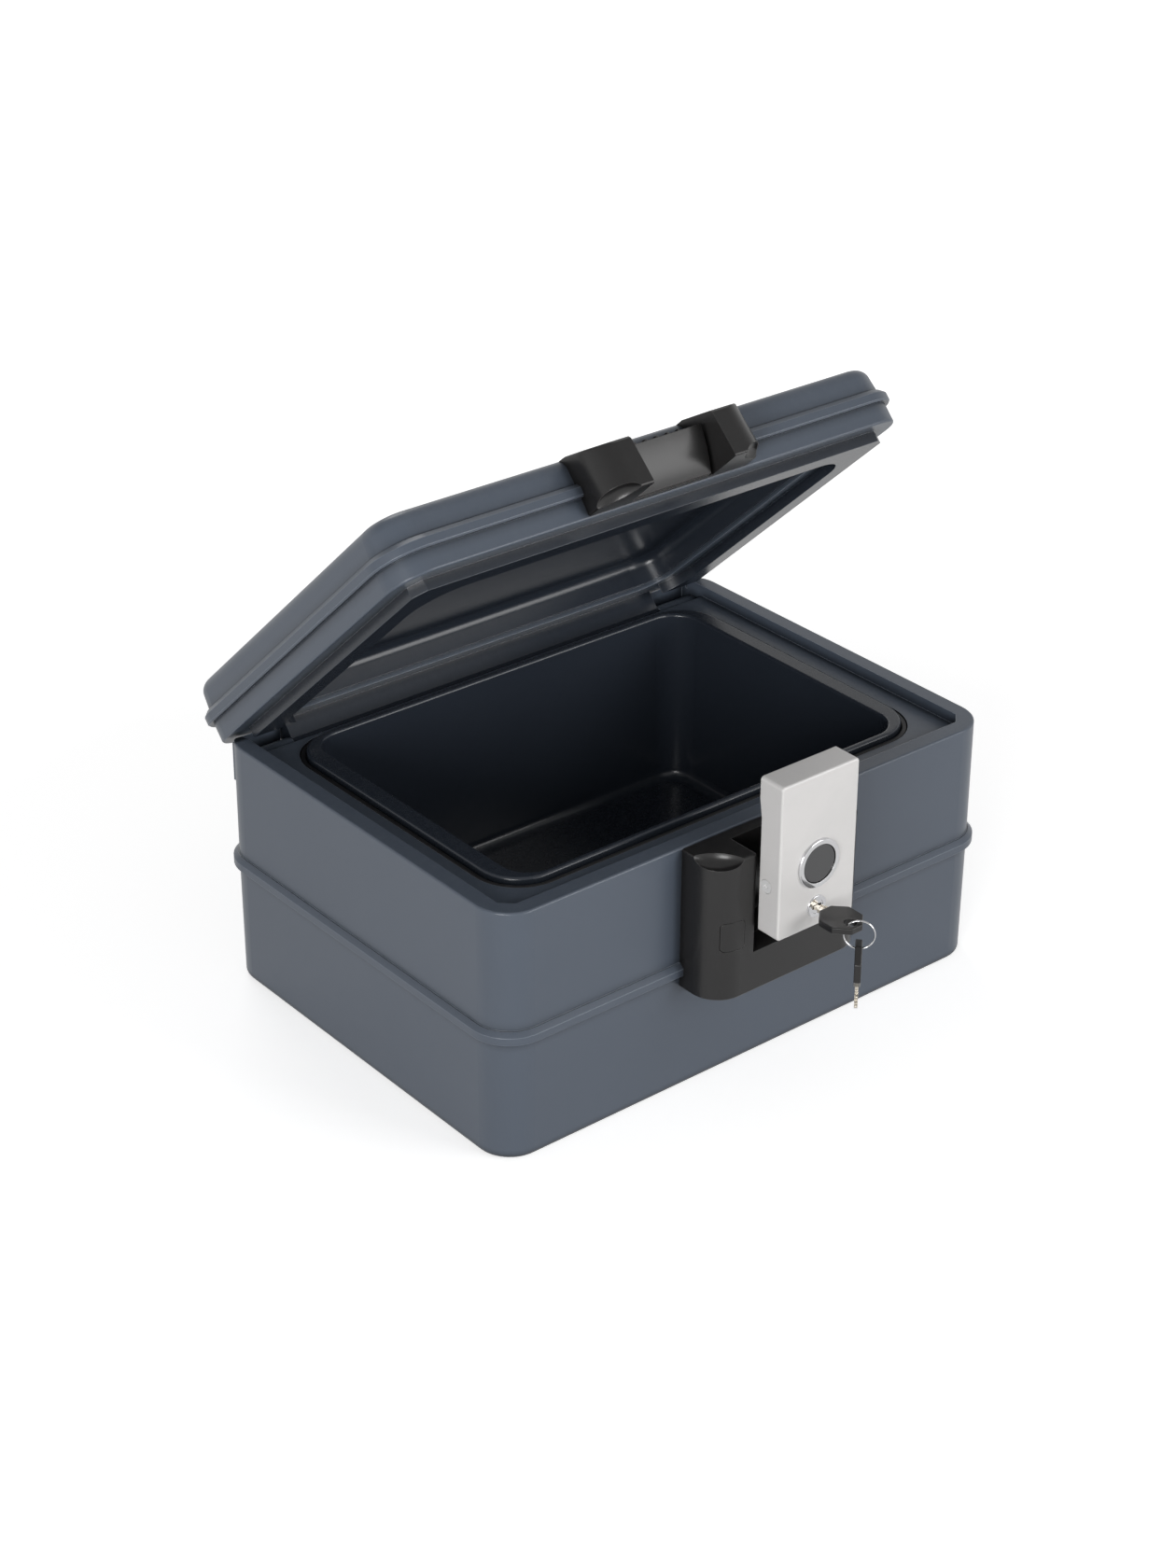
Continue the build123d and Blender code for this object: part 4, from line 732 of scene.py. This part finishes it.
def makeWorld(look):
    world = bpy.data.worlds.new("studioWorld")
    bpy.context.scene.world = world
    world.use_nodes = True
    tree = world.node_tree
    tree.nodes.clear()
    camera, seen = seenRays(tree)
    # Bright near the horizon and dimmer overhead, as under a studio ceiling
    direction = put(tree, "ShaderNodeTexCoord").outputs["Generated"]
    height = put(tree, "ShaderNodeSeparateXYZ", {"Vector": direction}).outputs["Z"]
    ramp = remap(tree, height, look["horizon"], look["overhead"], 1.0, look["ceiling"])
    strength = maths(tree, "MULTIPLY", ramp, remap(tree, seen, 0.0, 1.0, look["worldLight"], 1.0))
    strength = maths(tree, "MAXIMUM", strength, camera)
    sky = put(tree, "ShaderNodeBackground", {"Color": (1, 1, 1, 1), "Strength": strength}).outputs[0]
    put(tree, "ShaderNodeOutputWorld", {"Surface": sky})


def makeLamp(look):
    lamp = bpy.data.lights.new(look["name"], "AREA")
    lamp.size = look["size"]
    lamp.energy = look["watts"]
    obj = bpy.data.objects.new(look["name"], lamp)
    obj.location = look["place"]
    obj.rotation_euler = (Vector(look["aim"]) - Vector(look["place"])).to_track_quat("-Z", "Y").to_euler()
    bpy.context.scene.collection.objects.link(obj)


# Camera set so that the chest's edges fall where the photograph has them
cameraLook = {"lensMm": 71.08, "sensorMm": 36.0, "yaw": 39.508, "pitch": 26.502, "roll": 0.38,
              "distance": 2.0922, "aim": (0.0289, 0.0552, 0.2022), "shiftY": -0.0833, "clip": (0.05, 100.0)}


def makeCamera(look):
    yaw, pitch = math.radians(look["yaw"]), math.radians(look["pitch"])
    forward = Vector((math.sin(yaw) * math.cos(pitch), math.cos(yaw) * math.cos(pitch), -math.sin(pitch)))
    data = bpy.data.cameras.new("camera")
    data.lens = look["lensMm"]
    data.sensor_width = look["sensorMm"]
    data.shift_y = look["shiftY"]
    data.clip_start, data.clip_end = look["clip"]
    obj = bpy.data.objects.new("camera", data)
    obj.rotation_mode = "QUATERNION"
    level = forward.to_track_quat("-Z", "Y")
    obj.rotation_quaternion = level @ Quaternion((0, 0, 1), math.radians(look["roll"]))
    obj.location = Vector(look["aim"]) - forward * look["distance"]
    bpy.context.scene.collection.objects.link(obj)
    bpy.context.scene.camera = obj


makeFloor(studio)
makeWorld(studio)
for lampLook in studio["lamps"]:
    makeLamp(lampLook)
makeCamera(cameraLook)
print("studio and camera placed")
